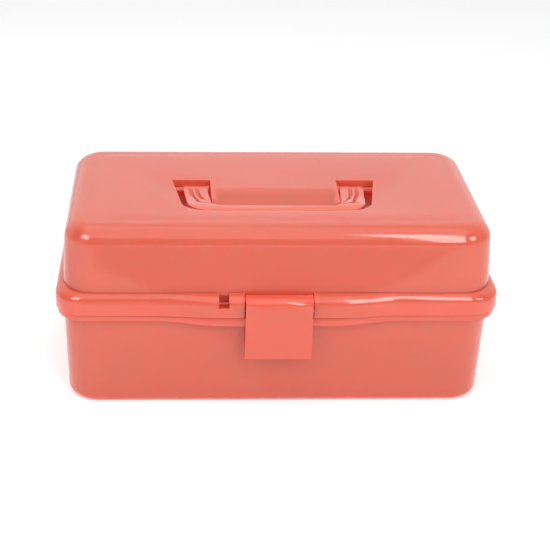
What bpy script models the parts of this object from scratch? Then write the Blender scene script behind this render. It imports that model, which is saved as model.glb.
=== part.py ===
"""Sewing box with a folding lid handle, a front latch and two cantilever trays.

Blender 4.5, metres, +Z up. The box stands on z = 0, its length runs along X, its front faces -Y, and the
origin is the centre of its footprint. Each visible object is one moulded or turned piece of the real box.

The lid and both trays form exact parallelogram linkages: the triangle hinge - lower pivot - upper pivot on
the lid is repeated, moved forward, by the three holes of each front arm, so the trays stay level.
"""

import math

import bmesh
import bpy
from mathutils import Matrix, Vector

# Overall size, at the outer face of the lid's rim bead, which is the widest part.
LENGTH = 0.325
DEPTH = 0.1785
HEIGHT = 0.1422
WALL = 0.0022
GAP = 0.0003
HALF_X = LENGTH / 2
HALF_Y = DEPTH / 2

# Base tub. Insets are measured inwards from the bead's outer face.
BASE_DRAFT = math.radians(1.4)
BASE_WALL_INSET = 0.0052
BASE_CORNER = 0.0239
BASE_FOOT_FILLET = 0.0062
LIP_INSET = 0.0015
LIP_BOTTOM = 0.0718
LIP_TOP = 0.0764
RIM_INSET = 0.0029
RIM_TOP = 0.086
RIM_WALL = 0.002

# Lid shell.
LID_DRAFT = math.radians(2.66)
LID_CORNER = 0.0232
LID_TOP_FILLET = 0.0137
BEAD_CORNER = 0.0217
BEAD_BOTTOM = 0.0767
BEAD_TOP = 0.0933
BEAD_SHOULDER = 0.0073
BEAD_REACH = 0.0056
PANEL_HALF_X = 0.135
PANEL_HALF_Y = 0.0617
PANEL_CORNER = 0.011
PANEL_RISE = 0.0005

# Both rims step forward in the middle of the front, to make room for the latch.
BULGE = 0.0035
BULGE_DROP = 0.0026
BULGE_FLAT = 0.044
BULGE_END = 0.088
CORNER_STEPS = 6
FILLET_STEPS = 5

# Lid hinge: a moulded barrel at the parting line, on the back.
HINGE_Y = HALF_Y + 0.004
HINGE_Z = 0.0765
HINGE_X = 0.095
BARREL_RADIUS = 0.0035
PIN_RADIUS = 0.0015
PIN_BORE = 0.0018
KNUCKLE = 0.012
KNUCKLE_GAP = 0.0004
LEAF_DEPTH = 0.003

# Cantilever linkage, in the Y-Z plane. Each arm turns with the lid, so both share these two offsets.
LOWER_CRANK = Vector((-0.0515, -0.007))
UPPER_CRANK = Vector((-0.090, 0.0215))
HINGE_AXIS = Vector((HINGE_Y, HINGE_Z))
ARM_AXIS = Vector((0.027, 0.070))
LOWER_LID_PIVOT = HINGE_AXIS + LOWER_CRANK
UPPER_LID_PIVOT = HINGE_AXIS + UPPER_CRANK
LOWER_ARM_PIVOT = ARM_AXIS + LOWER_CRANK
UPPER_ARM_PIVOT = ARM_AXIS + UPPER_CRANK
BRACKET_SCREWS = (Vector((0.052, 0.106)), Vector((0.028, 0.120)))
LINK_RADIUS = 0.0062
LINK_THICKNESS = 0.0026
LINK_X = 0.1479

# Trays.
TRAY_HALF_X = 0.1475
TRAY_WALL = 0.0018
TRAY_HEIGHT = 0.030
TRAY_FRONT = -0.078
TRAY_CORNER = 0.010
TRAY_FOOT = 0.003
DIVIDER = 0.0016
DIVIDER_HEIGHT = 0.027
DIVIDER_TOE = 0.0018
UPPER_TRAY_BACK = 0.018
UPPER_TRAY_Z = 0.079
UPPER_TRAY_SPLIT = -0.049
UPPER_FRONT_BAYS = 10
UPPER_BACK_BAYS = 3
LOWER_TRAY_BACK = 0.0565
LOWER_TRAY_Z = 0.046
LOWER_TRAY_SPLIT = -0.043
LOWER_FRONT_BAYS = 1
LOWER_BACK_BAYS = 4

# Pins and screws.
RIVET_RADIUS = 0.0016
RIVET_BORE = 0.0019
RIVET_HEAD = 0.0040
RIVET_HEAD_THICKNESS = 0.0012
ARM_BOSS_RADIUS = 0.0068
SCREW_RADIUS = 0.0013
SCREW_BORE = 0.0016
SCREW_HEAD = 0.0030
SCREW_HEAD_THICKNESS = 0.0014
SCREW_BOSS = 0.0048

# Front latch.
LATCH_HALF_WIDTH = 0.0243
LATCH_AXIS = Vector((-0.0872, 0.0890))
LATCH_BARREL = 0.0040
LATCH_SEAT = 0.0046
LATCH_FRONT = -0.0953
LATCH_TOP = 0.0930
LATCH_BOTTOM = 0.0444
LATCH_SHOULDER = 0.0872
LATCH_THICKNESS = 0.0026
LATCH_HOOK_TOP = 0.0687
LATCH_HOOK_BOTTOM = 0.0655
LATCH_HOOK_TIP = -0.0885
LATCH_SLOT_HALF = 0.0252
LATCH_CHEEK = 0.0034
LATCH_WEB_HALF = 0.046
LATCH_WEB = (-0.0822, -0.0802)
STOP_WIDTH = 0.0016
PIN_LEFT = -0.0342
PIN_RIGHT = 0.0286
NOTCH_LEFT = -0.0436
NOTCH_RIGHT = -0.0362
NOTCH_BOTTOM = 0.0847

# Handle well, sunk into the lid's top, and the folding handle that lies in it. Each half of a plan outline
# is a side that leans inwards from (HALF_X, BACK) to (SIDE_X, SIDE_Y), then an elliptical corner to the front.
WELL_HALF_X = 0.0773
WELL_BACK = 0.0104
WELL_SIDE_X = 0.0708
WELL_SIDE_Y = -0.032
WELL_BEND_X = 0.050
WELL_FRONT = -0.0476
WELL_FLOOR = 0.1310
WELL_WALL = 0.0018
HANDLE_AXIS = Vector((0.0056, 0.1354))
HANDLE_HALF_X = 0.0690
HANDLE_SIDE_X = 0.0662
HANDLE_SIDE_Y = -0.030
HANDLE_BEND_X = 0.0495
HANDLE_FRONT = -0.0472
HANDLE_INNER_X = 0.0512
HANDLE_INNER_SIDE_X = 0.0486
HANDLE_GRIP_BACK = -0.0384
HANDLE_INNER_BEND = 0.009
HANDLE_ARM_TOP = 0.1390
HANDLE_RISE_START = -0.014
HANDLE_RISE_END = -0.036
HANDLE_GRIP_TOP = 0.1421
HANDLE_BOTTOM = 0.1325
HANDLE_STUB = 0.0024
HANDLE_STUB_END = 0.0786
HANDLE_HUB_END = 0.0492
GROOVE_WIDTH = 0.0026
GROOVE_DEPTH = 0.0017
GROOVE_INSETS = (0.0052, 0.0100)
GROOVE_ENDS = (-0.029, -0.022)

# Finger scoop: a smooth hollow in the island between the handle's arms.
ISLAND_GAP = 0.0008
ISLAND_HALF_X = 0.0484
SCOOP_DEPTH = 0.0110
SCOOP_BACK = -0.0035
SCOOP_FULL = -0.0384
SCOOP_ENTRY = 0.25
SCOOP_INNER_X = 0.0425
SCOOP_OUTER_X = 0.0478
SCOOP_COLUMNS = 14
SCOOP_ROWS = 7

CORAL = (0.80, 0.16, 0.11, 1.0)
FROST = (0.83, 0.84, 0.84, 1.0)
STEEL = (0.60, 0.61, 0.63, 1.0)


def clear_scene():
    for obj in list(bpy.data.objects):
        bpy.data.objects.remove(obj, do_unlink=True)


def make_material(name, color, roughness, metallic=0.0):
    material = bpy.data.materials.new(name)
    material.use_nodes = True
    shader = material.node_tree.nodes["Principled BSDF"]
    shader.inputs["Base Color"].default_value = color
    shader.inputs["Roughness"].default_value = roughness
    shader.inputs["Metallic"].default_value = metallic
    return material


def new_object(name, mesh):
    obj = bpy.data.objects.new(name, mesh)
    bpy.context.scene.collection.objects.link(obj)
    return obj


def object_from_bmesh(name, bm):
    bmesh.ops.recalc_face_normals(bm, faces=bm.faces)
    mesh = bpy.data.meshes.new(name)
    bm.to_mesh(mesh)
    bm.free()
    return new_object(name, mesh)


def loft(name, loops):
    """A closed solid through loops of equal length, capped at the first and the last."""
    bm = bmesh.new()
    rings = [[bm.verts.new(point) for point in loop] for loop in loops]
    for lower, upper in zip(rings, rings[1:]):
        for i in range(len(lower)):
            j = (i + 1) % len(lower)
            bm.faces.new((lower[i], lower[j], upper[j], upper[i]))
    bm.faces.new(rings[0])
    bm.faces.new(rings[-1])
    return object_from_bmesh(name, bm)


def prism(name, outline, low, high, axis="Z"):
    """The outline extruded from low to high. Its points are (x, y) for axis Z and (y, z) for axis X."""
    bm = bmesh.new()
    if axis == "Z":
        corners = [(a, b, low) for a, b in outline]
        step = Vector((0, 0, high - low))
    else:
        corners = [(low, a, b) for a, b in outline]
        step = Vector((high - low, 0, 0))
    face = bm.faces.new([bm.verts.new(point) for point in corners])
    grown = bmesh.ops.extrude_face_region(bm, geom=[face])
    verts = [item for item in grown["geom"] if isinstance(item, bmesh.types.BMVert)]
    bmesh.ops.translate(bm, vec=step, verts=verts)
    return object_from_bmesh(name, bm)


def box(name, low, high):
    """A cube primitive between two corners."""
    bm = bmesh.new()
    bmesh.ops.create_cube(bm, size=1.0)
    low, high = Vector(low), Vector(high)
    size = high - low
    centre = (low + high) / 2
    bmesh.ops.transform(bm, matrix=Matrix.Translation(centre) @ Matrix.Diagonal((*size, 1)), verts=bm.verts)
    return object_from_bmesh(name, bm)


def rod(name, radius, start, end, centre, segments=16):
    """A cylinder along X, from start to end, centred on (y, z)."""
    bm = bmesh.new()
    bmesh.ops.create_cone(bm, cap_ends=True, segments=segments, radius1=radius, radius2=radius,
                          depth=abs(end - start))
    place = Matrix.Translation(((start + end) / 2, centre[0], centre[1])) @ Matrix.Rotation(math.pi / 2, 4, "Y")
    bmesh.ops.transform(bm, matrix=place, verts=bm.verts)
    return object_from_bmesh(name, bm)


def combine(target, other, operation):
    """Joins other to target, or cuts it away, and removes it."""
    modifier = target.modifiers.new("Boolean", "BOOLEAN")
    modifier.operation = operation
    modifier.solver = "EXACT"
    modifier.object = other
    graph = bpy.context.evaluated_depsgraph_get()
    shape = bpy.data.meshes.new_from_object(target.evaluated_get(graph))
    target.modifiers.remove(modifier)
    target.data = shape
    bpy.data.objects.remove(other, do_unlink=True)
    return target


def join(target, other):
    return combine(target, other, "UNION")


def cut(target, other):
    return combine(target, other, "DIFFERENCE")


def both_sides(make):
    """Calls make with -1 for the left of the box and +1 for the right."""
    return [make(side) for side in (-1, 1)]


def smooth_step(x):
    """0 beyond the bulge's ends and 1 along its flat middle, with a smooth ramp between."""
    t = (BULGE_END - abs(x)) / (BULGE_END - BULGE_FLAT)
    t = min(1.0, max(0.0, t))
    return t * t * (3 - 2 * t)


def front_stations():
    """Where a rim's front edge has points: close together along both ramps of the bulge."""
    ramp = [BULGE_FLAT + (BULGE_END - BULGE_FLAT) * i / 5 for i in range(6)]
    return [-x for x in reversed(ramp)] + ramp


def rim_loop(inset, z, corner, bulge=0.0, drop=0.0):
    """A rounded rectangle, inset from the bead's outer face, whose front may bulge forward and drop."""
    return rounded_loop(HALF_X - inset, HALF_Y - inset, z, corner, bulge, drop)


def rounded_loop(half_x, half_y, z, corner, bulge=0.0, drop=0.0):
    points = []
    for x in front_stations():
        share = smooth_step(x)
        points.append((x, -half_y - bulge * share, z - drop * share))
    for quarter in range(4):
        start = -math.pi / 2 + quarter * math.pi / 2
        sign_x = 1 if quarter in (0, 1) else -1
        sign_y = -1 if quarter in (0, 3) else 1
        for i in range(CORNER_STEPS + 1):
            angle = start + i * (math.pi / 2) / CORNER_STEPS
            points.append((
                sign_x * (half_x - corner) + corner * math.cos(angle),
                sign_y * (half_y - corner) + corner * math.sin(angle),
                z,
            ))
    return points


def quarter_steps(steps):
    return [i * (math.pi / 2) / steps for i in range(steps + 1)]


def base_wall_inset(z):
    return BASE_WALL_INSET + (LIP_BOTTOM - z) * math.tan(BASE_DRAFT)


def make_base():
    loops = []
    for angle in quarter_steps(FILLET_STEPS):
        z = BASE_FOOT_FILLET * (1 - math.sin(math.pi / 2 - angle))
        inward = BASE_FOOT_FILLET * (1 - math.cos(math.pi / 2 - angle))
        loops.append(rim_loop(base_wall_inset(z) + inward, z, BASE_CORNER - inward))
    loops.append(rim_loop(BASE_WALL_INSET, LIP_BOTTOM, BASE_CORNER, 0.0, BULGE_DROP))
    loops.append(rim_loop(LIP_INSET, LIP_BOTTOM, BEAD_CORNER - LIP_INSET, BULGE, BULGE_DROP))
    loops.append(rim_loop(LIP_INSET, LIP_TOP, BEAD_CORNER - LIP_INSET, BULGE))
    loops.append(rim_loop(RIM_INSET, LIP_TOP, BEAD_CORNER - RIM_INSET))
    loops.append(rim_loop(RIM_INSET, RIM_TOP, BEAD_CORNER - RIM_INSET))
    loops.append(rim_loop(RIM_INSET + RIM_WALL, RIM_TOP, BEAD_CORNER - RIM_INSET - RIM_WALL))
    inner_corner = BASE_CORNER - WALL
    loops.append(rim_loop(RIM_INSET + RIM_WALL, LIP_TOP, BEAD_CORNER - RIM_INSET - RIM_WALL))
    loops.append(rim_loop(base_wall_inset(LIP_BOTTOM) + WALL, LIP_BOTTOM, inner_corner))
    fillet = BASE_FOOT_FILLET - WALL
    for angle in quarter_steps(FILLET_STEPS - 2):
        z = WALL + fillet * (1 - math.sin(angle))
        inward = fillet * (1 - math.cos(angle))
        loops.append(rim_loop(base_wall_inset(z) + WALL + inward, z, inner_corner - inward))
    base = loft("base_tub", loops)
    both_sides(lambda side: add_arm_boss(base, side))
    notch = box("rim_notch", (NOTCH_RIGHT - GAP, -HALF_Y, LIP_TOP + 0.0012),
                (-NOTCH_RIGHT + GAP, -HALF_Y + 0.009, RIM_TOP + 0.001))
    cut(base, notch)
    for centre in (-HINGE_X, HINGE_X):
        for side in (-1, 1):
            middle = centre + side * (KNUCKLE + KNUCKLE_GAP)
            add_knuckle(base, middle, below=True)
        cut(base, rod("bore", PIN_BORE, centre - 2 * KNUCKLE, centre + 2 * KNUCKLE, HINGE_AXIS))
    return base


def add_arm_boss(base, side):
    """The pad inside the end wall that carries the front arm, with a blind bore for its pivot pin."""
    face = LINK_X + LINK_THICKNESS + 0.0004
    root = HALF_X - BASE_WALL_INSET - WALL / 2
    join(base, rod("boss", ARM_BOSS_RADIUS, side * face, side * root, ARM_AXIS))
    cut(base, rod("bore", RIVET_BORE, side * (face - 0.001), side * (root - 0.0006), ARM_AXIS))


def add_knuckle(body, middle, below):
    """One hinge barrel and the leaf that ties it to the rim behind it, on the base or on the lid."""
    low, high = middle - KNUCKLE / 2, middle + KNUCKLE / 2
    join(body, rod("barrel", BARREL_RADIUS, low, high, HINGE_AXIS))
    if below:
        edge = (HALF_Y - LIP_INSET - LEAF_DEPTH / 2, LIP_BOTTOM + 0.0006, LIP_TOP - 0.0004)
    else:
        edge = (HALF_Y - LEAF_DEPTH / 2, BEAD_BOTTOM + 0.0006, BEAD_BOTTOM + 0.0035)
    leaf = box("leaf", (low, edge[0], edge[1]), (high, HINGE_Y, edge[2]))
    join(body, leaf)


def lid_wall_inset(z):
    return BEAD_REACH + (z - BEAD_TOP) * math.tan(LID_DRAFT)


def make_lid():
    top = HEIGHT - PANEL_RISE
    shoulder = BEAD_TOP - BEAD_SHOULDER
    loops = [
        rounded_loop(PANEL_HALF_X - PANEL_RISE, PANEL_HALF_Y - PANEL_RISE, HEIGHT, PANEL_CORNER),
        rounded_loop(PANEL_HALF_X, PANEL_HALF_Y, top, PANEL_CORNER),
    ]
    for angle in quarter_steps(FILLET_STEPS):
        z = top - LID_TOP_FILLET * (1 - math.cos(angle))
        inward = LID_TOP_FILLET * (1 - math.sin(angle))
        loops.append(rim_loop(lid_wall_inset(z) + inward, z, LID_CORNER - inward))
    for angle in quarter_steps(FILLET_STEPS):
        inset = BEAD_REACH * (1 - math.sin(angle))
        share = 1 - inset / BEAD_REACH
        corner = BEAD_CORNER + (LID_CORNER - BEAD_CORNER) * (1 - share)
        z = shoulder + BEAD_SHOULDER * math.cos(angle)
        loops.append(rim_loop(inset, z, corner, BULGE * share))
    loops.append(rim_loop(0.0, BEAD_BOTTOM + 0.0018, BEAD_CORNER, BULGE))
    loops.append(rim_loop(0.0008, BEAD_BOTTOM, BEAD_CORNER - 0.0008, BULGE))
    loops.append(rim_loop(WALL, BEAD_BOTTOM, BEAD_CORNER - WALL, BULGE))
    for angle in reversed(quarter_steps(FILLET_STEPS - 2)):
        inset = BEAD_REACH * (1 - math.sin(angle))
        share = 1 - inset / BEAD_REACH
        z = shoulder - 0.0005 + (BEAD_SHOULDER - WALL + 0.0005) * math.cos(angle)
        corner = BEAD_CORNER + (LID_CORNER - BEAD_CORNER) * (1 - share)
        loops.append(rim_loop(inset + WALL, z, corner - WALL, BULGE * share))
    for angle in reversed(quarter_steps(FILLET_STEPS - 1)):
        z = top - WALL - (LID_TOP_FILLET - WALL) * (1 - math.cos(angle))
        inward = (LID_TOP_FILLET - WALL) * (1 - math.sin(angle))
        loops.append(rim_loop(lid_wall_inset(z) + WALL + inward, z, LID_CORNER - WALL - inward))
    lid = loft("lid_shell", loops)
    add_handle_well(lid)
    add_latch_seat(lid)
    both_sides(lambda side: [add_bracket_boss(lid, side, place) for place in BRACKET_SCREWS])
    for centre in (-HINGE_X, HINGE_X):
        add_knuckle(lid, centre, below=False)
        cut(lid, rod("bore", PIN_BORE, centre - KNUCKLE, centre + KNUCKLE, HINGE_AXIS))
    return lid


def bent_outline(half_x, back, side_x, side_y, bend_x, front, steps=8):
    """Plan of the well or of the handle: straight sides that lean inwards, then large front corners."""
    right = [(half_x, back)]
    for angle in quarter_steps(steps):
        right.append((
            bend_x + (side_x - bend_x) * math.cos(angle),
            side_y + (front - side_y) * math.sin(angle),
        ))
    return right + [(-x, y) for x, y in reversed(right)]


def opening_outline(half_x, side_x, front, corner, back, steps=5):
    """Plan of the space inside the handle, or of the island that fills it."""
    right = [(half_x, back), (half_x, HANDLE_AXIS.x)]
    for angle in quarter_steps(steps):
        right.append((
            side_x - corner * (1 - math.cos(angle)),
            front + corner * (1 - math.sin(angle)),
        ))
    return right + [(-x, y) for x, y in reversed(right)]


def ease(value, start, end):
    """0 at start, 1 at end, level at both."""
    t = min(1.0, max(0.0, (value - start) / (end - start)))
    return t * t * (3 - 2 * t)


def scoop_height(x, y):
    """The lid's top with a ramp sunk in it, for fingers: rounded where it starts, then an even slope."""
    across = ease(abs(x), SCOOP_OUTER_X, SCOOP_INNER_X)
    t = min(1.0, max(0.0, (SCOOP_BACK - y) / (SCOOP_BACK - SCOOP_FULL)))
    down = t * t / (2 * SCOOP_ENTRY) if t < SCOOP_ENTRY else t - SCOOP_ENTRY / 2
    return HEIGHT - SCOOP_DEPTH * across * down / (1 - SCOOP_ENTRY / 2)


def height_block(name, half_x, back, front, height, flat):
    """A block with one flat face at z = flat and its other face shaped by height(x, y)."""
    bm = bmesh.new()
    shaped = []
    level = []
    for j in range(SCOOP_ROWS + 1):
        y = back + (front - back) * j / SCOOP_ROWS
        xs = [half_x * (2 * i / SCOOP_COLUMNS - 1) for i in range(SCOOP_COLUMNS + 1)]
        shaped.append([bm.verts.new((x, y, height(x, y))) for x in xs])
        level.append([bm.verts.new((x, y, flat)) for x in xs])
    for grid in (shaped, level):
        for j in range(SCOOP_ROWS):
            for i in range(SCOOP_COLUMNS):
                bm.faces.new((grid[j][i], grid[j][i + 1], grid[j + 1][i + 1], grid[j + 1][i]))
    border = [(0, i) for i in range(SCOOP_COLUMNS)]
    border += [(j, SCOOP_COLUMNS) for j in range(SCOOP_ROWS)]
    border += [(SCOOP_ROWS, i) for i in range(SCOOP_COLUMNS, 0, -1)]
    border += [(j, 0) for j in range(SCOOP_ROWS, 0, -1)]
    for (j, i), (m, k) in zip(border, border[1:] + border[:1]):
        bm.faces.new((shaped[j][i], shaped[m][k], level[m][k], level[j][i]))
    return object_from_bmesh(name, bm)


def add_handle_well(lid):
    grown = bent_outline(WELL_HALF_X + WELL_WALL, WELL_BACK + WELL_WALL, WELL_SIDE_X + WELL_WALL, WELL_SIDE_Y,
                         WELL_BEND_X, WELL_FRONT - WELL_WALL)
    block = prism("well_block", grown, WELL_FLOOR - WELL_WALL, HEIGHT - WALL / 2)
    under = HEIGHT - WALL - PANEL_RISE
    inner_x = ISLAND_HALF_X - 0.0024 - WELL_WALL
    cut(block, height_block("hollow", inner_x, WELL_BACK + 2 * WELL_WALL, HANDLE_GRIP_BACK + 0.004,
                            lambda x, y: min(under, scoop_height(x, y) - WELL_WALL), WELL_FLOOR - 0.004))
    join(lid, block)
    cavity = prism("cavity", bent_outline(WELL_HALF_X, WELL_BACK, WELL_SIDE_X, WELL_SIDE_Y, WELL_BEND_X, WELL_FRONT),
                   WELL_FLOOR, HEIGHT + 0.002)
    island = opening_outline(ISLAND_HALF_X, HANDLE_INNER_SIDE_X - ISLAND_GAP, HANDLE_GRIP_BACK + ISLAND_GAP,
                             HANDLE_INNER_BEND - ISLAND_GAP, WELL_BACK + 0.005)
    cut(cavity, prism("island", island, WELL_FLOOR - 0.001, HEIGHT + 0.003))
    cut(lid, cavity)
    cut(lid, height_block("scoop", SCOOP_OUTER_X, SCOOP_BACK, HANDLE_GRIP_BACK, scoop_height, HEIGHT + 0.004))
    for side in (-1, 1):
        start = side * (WELL_HALF_X - 0.004)
        cut(lid, rod("stub_hole", HANDLE_STUB + GAP, start, side * (WELL_HALF_X + 0.005), HANDLE_AXIS))


def add_latch_seat(lid):
    """The gap in the bead where the latch hangs, the web behind it and the cheeks that hold its pin."""
    wall = -HALF_Y + BEAD_REACH
    join(lid, rod("cheek", LATCH_CHEEK, NOTCH_RIGHT, -LATCH_SLOT_HALF + 0.002, LATCH_AXIS))
    join(lid, rod("cheek", LATCH_CHEEK, LATCH_SLOT_HALF - 0.002, PIN_RIGHT + 0.0016, LATCH_AXIS))
    cut(lid, box("slot", (-LATCH_SLOT_HALF, -HALF_Y - 0.006, BEAD_BOTTOM - 0.002),
                 (LATCH_SLOT_HALF, wall, BEAD_TOP + 0.0006)))
    cut(lid, rod("seat", LATCH_SEAT, -LATCH_SLOT_HALF, LATCH_SLOT_HALF, LATCH_AXIS, 32))
    back, front = LATCH_WEB[1], LATCH_WEB[0]
    join(lid, box("web", (-LATCH_WEB_HALF, front, LIP_TOP + 0.002), (LATCH_WEB_HALF, back, BEAD_TOP + 0.0036)))
    for side in (-1, 1):
        add_web_end(lid, side)
    cut(lid, rod("pin_bore", PIN_BORE, NOTCH_RIGHT - 0.001, PIN_RIGHT + 0.0003, LATCH_AXIS))
    cut(lid, box("notch", (NOTCH_LEFT, -HALF_Y - 0.006, NOTCH_BOTTOM), (NOTCH_RIGHT, wall, BEAD_TOP + 0.0006)))


def add_web_end(lid, side):
    """A rib that closes the hollow bead beside the latch. It passes in front of the base's rim and over it."""
    rim_face = -HALF_Y + RIM_INSET
    skin = -HALF_Y - BULGE + WALL / 2
    outline = [
        (skin, LIP_TOP + 0.0016),
        (rim_face - 0.0007, LIP_TOP + 0.0016),
        (rim_face - 0.0007, RIM_TOP + 0.0005),
        (LATCH_WEB[1] - 0.0003, RIM_TOP + 0.0005),
        (LATCH_WEB[1] - 0.0003, BEAD_TOP - 0.0012),
        (-0.0868, BEAD_TOP - 0.0022),
        (skin, BEAD_TOP - BEAD_SHOULDER),
    ]
    end = side * (LATCH_WEB_HALF - 0.0003)
    join(lid, prism("web_end", outline, end - side * STOP_WIDTH, end, axis="X"))


def add_bracket_boss(lid, side, place):
    face = side * (LINK_X + LINK_THICKNESS + GAP)
    root = side * (HALF_X - lid_wall_inset(place.y) - WALL / 2)
    join(lid, rod("boss", SCREW_BOSS, face, root, place))
    cut(lid, rod("bore", SCREW_BORE, face - side * 0.001, root - side * 0.0004, place))


def tray_loop(half_x, back, front, z, corner):
    middle = (back + front) / 2
    half_y = (back - front) / 2
    return [(x, y + middle, z) for x, y, z in rounded_loop(half_x, half_y, z, corner)]


def make_tray(name, back, z):
    """An open tray with a rounded foot."""
    top = z + TRAY_HEIGHT
    loops = [
        tray_loop(TRAY_HALF_X - TRAY_FOOT, back - TRAY_FOOT, TRAY_FRONT + TRAY_FOOT, z, TRAY_CORNER - TRAY_FOOT),
        tray_loop(TRAY_HALF_X - TRAY_FOOT / 3, back - TRAY_FOOT / 3, TRAY_FRONT + TRAY_FOOT / 3,
                  z + TRAY_FOOT / 3, TRAY_CORNER - TRAY_FOOT / 3),
        tray_loop(TRAY_HALF_X, back, TRAY_FRONT, z + TRAY_FOOT, TRAY_CORNER),
        tray_loop(TRAY_HALF_X, back, TRAY_FRONT, top, TRAY_CORNER),
    ]
    for floor in (top, z + TRAY_FOOT, z + TRAY_WALL):
        inset = TRAY_WALL if floor > z + TRAY_WALL else TRAY_FOOT
        loops.append(tray_loop(TRAY_HALF_X - inset, back - inset, TRAY_FRONT + inset, floor,
                               TRAY_CORNER - inset))
    return loft(name, loops)


def make_plate(name, across, place, start, end, z):
    """A loose partition. It stands across X or Y at place, and runs from start to end the other way."""
    low, high = z + TRAY_WALL + GAP, z + DIVIDER_HEIGHT
    outline = [
        (start + DIVIDER_TOE, low),
        (end - DIVIDER_TOE, low),
        (end, low + DIVIDER_TOE),
        (end, high),
        (start, high),
        (start, low + DIVIDER_TOE),
    ]
    plate = prism(name, outline, -DIVIDER / 2, DIVIDER / 2, axis="X")
    if across == "Y":
        plate.data.transform(Matrix.Rotation(-math.pi / 2, 4, "Z"))
    plate.data.transform(Matrix.Translation((place, 0, 0) if across == "X" else (0, place, 0)))
    return plate


def make_dividers(word, back, z, split, front_bays, back_bays):
    """One long partition, a row of short ones that part the front bays, and a row behind it."""
    inside = TRAY_WALL + GAP
    reach = TRAY_HALF_X - inside
    plates = [make_plate(word + "_long_divider", "Y", split, -reach, reach, z)]
    near, far = split - DIVIDER / 2 - GAP, split + DIVIDER / 2 + GAP
    rows = (("front", front_bays, TRAY_FRONT + inside, near), ("back", back_bays, far, back - inside))
    for row, bays, start, end in rows:
        for i in range(1, bays):
            x = -TRAY_HALF_X + 2 * TRAY_HALF_X * i / bays
            plates.append(make_plate(f"{word}_{row}_divider_{i}", "X", x, start, end, z))
    return plates


def bore_tray(tray, places):
    for place in places:
        for side in (-1, 1):
            cut(tray, rod("bore", RIVET_BORE, side * (TRAY_HALF_X - 0.004), side * (TRAY_HALF_X + 0.002), place))


def hull_outline(places, radius, steps=24):
    """The outline of discs of this radius round the places, pulled tight as a belt would be."""
    points = []
    for place in places:
        for i in range(steps):
            angle = 2 * math.pi * i / steps
            points.append((place.x + radius * math.cos(angle), place.y + radius * math.sin(angle)))
    points.sort()

    def half(ordered):
        chain = []
        for point in ordered:
            while len(chain) > 1 and turn(chain[-2], chain[-1], point) <= 0:
                chain.pop()
            chain.append(point)
        return chain[:-1]

    return half(points) + half(list(reversed(points)))


def turn(a, b, c):
    return (b[0] - a[0]) * (c[1] - a[1]) - (b[1] - a[1]) * (c[0] - a[0])


def make_front_arm(name, side):
    """A flat dog-leg link with three pivot holes: base, lower tray and upper tray."""
    near = side * LINK_X
    far = side * (LINK_X + LINK_THICKNESS)
    arm = prism(name, hull_outline((ARM_AXIS, LOWER_ARM_PIVOT), LINK_RADIUS), near, far, axis="X")
    join(arm, prism("leg", hull_outline((LOWER_ARM_PIVOT, UPPER_ARM_PIVOT), LINK_RADIUS), near, far, axis="X"))
    for place in (ARM_AXIS, LOWER_ARM_PIVOT, UPPER_ARM_PIVOT):
        cut(arm, rod("bore", RIVET_BORE, near - side * 0.001, far + side * 0.001, place))
    sunk = near + side * (RIVET_HEAD_THICKNESS + GAP)
    cut(arm, rod("sink", RIVET_HEAD + GAP, near - side * 0.001, sunk, ARM_AXIS))
    return arm


def make_lid_bracket(name, side):
    """A flat plate, screwed inside the lid's end wall, that carries the back of both trays."""
    near = side * LINK_X
    far = side * (LINK_X + LINK_THICKNESS)
    places = (LOWER_LID_PIVOT, *BRACKET_SCREWS, UPPER_LID_PIVOT)
    bracket = prism(name, hull_outline(places[:2], LINK_RADIUS), near, far, axis="X")
    for pair in (places[1:3], places[2:]):
        join(bracket, prism("leg", hull_outline(pair, LINK_RADIUS), near, far, axis="X"))
    for place in (LOWER_LID_PIVOT, UPPER_LID_PIVOT):
        cut(bracket, rod("bore", RIVET_BORE, near - side * 0.001, far + side * 0.001, place))
    for place in BRACKET_SCREWS:
        cut(bracket, rod("bore", SCREW_BORE, near - side * 0.001, far + side * 0.001, place))
    return bracket


def turned(name, profile, place, side):
    """A pin turned from a profile of (radius, distance from the middle plane), on a Screw modifier."""
    mesh = bpy.data.meshes.new(name)
    points = [(radius, 0.0, along) for radius, along in reversed(profile)]
    mesh.from_pydata(points, [(i, i + 1) for i in range(len(points) - 1)], [])
    pin = new_object(name, mesh)
    screw = pin.modifiers.new("Screw", "SCREW")
    screw.steps = 12
    screw.render_steps = 12
    screw.use_merge_vertices = True
    screw.merge_threshold = 0.00002
    screw.use_smooth_shade = False
    pin.location = (0.0, place.x, place.y)
    pin.rotation_euler = (0.0, side * math.pi / 2, 0.0)
    return pin


def make_tray_rivet(name, place, side):
    """A snap rivet through a link and a tray's end wall, with a head on each side."""
    inner = TRAY_HALF_X - TRAY_WALL - GAP
    outer = LINK_X + LINK_THICKNESS + GAP
    profile = [
        (0.0, inner - RIVET_HEAD_THICKNESS),
        (RIVET_HEAD, inner - RIVET_HEAD_THICKNESS),
        (RIVET_HEAD, inner),
        (RIVET_RADIUS, inner),
        (RIVET_RADIUS, outer),
        (RIVET_HEAD, outer),
        (RIVET_HEAD * 0.8, outer + RIVET_HEAD_THICKNESS),
        (0.0, outer + RIVET_HEAD_THICKNESS),
    ]
    return turned(name, profile, place, side)


def make_arm_pin(name, side):
    """The front arm's pivot pin: a flat head sunk in the arm and a shank pressed into the base's boss."""
    start = LINK_X + 0.0001
    end = HALF_X - BASE_WALL_INSET - WALL / 2 - 0.0011
    profile = [
        (0.0, start),
        (RIVET_HEAD, start),
        (RIVET_HEAD, start + RIVET_HEAD_THICKNESS),
        (RIVET_RADIUS, start + RIVET_HEAD_THICKNESS),
        (RIVET_RADIUS, end),
        (0.0, end),
    ]
    return turned(name, profile, ARM_AXIS, side)


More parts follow.
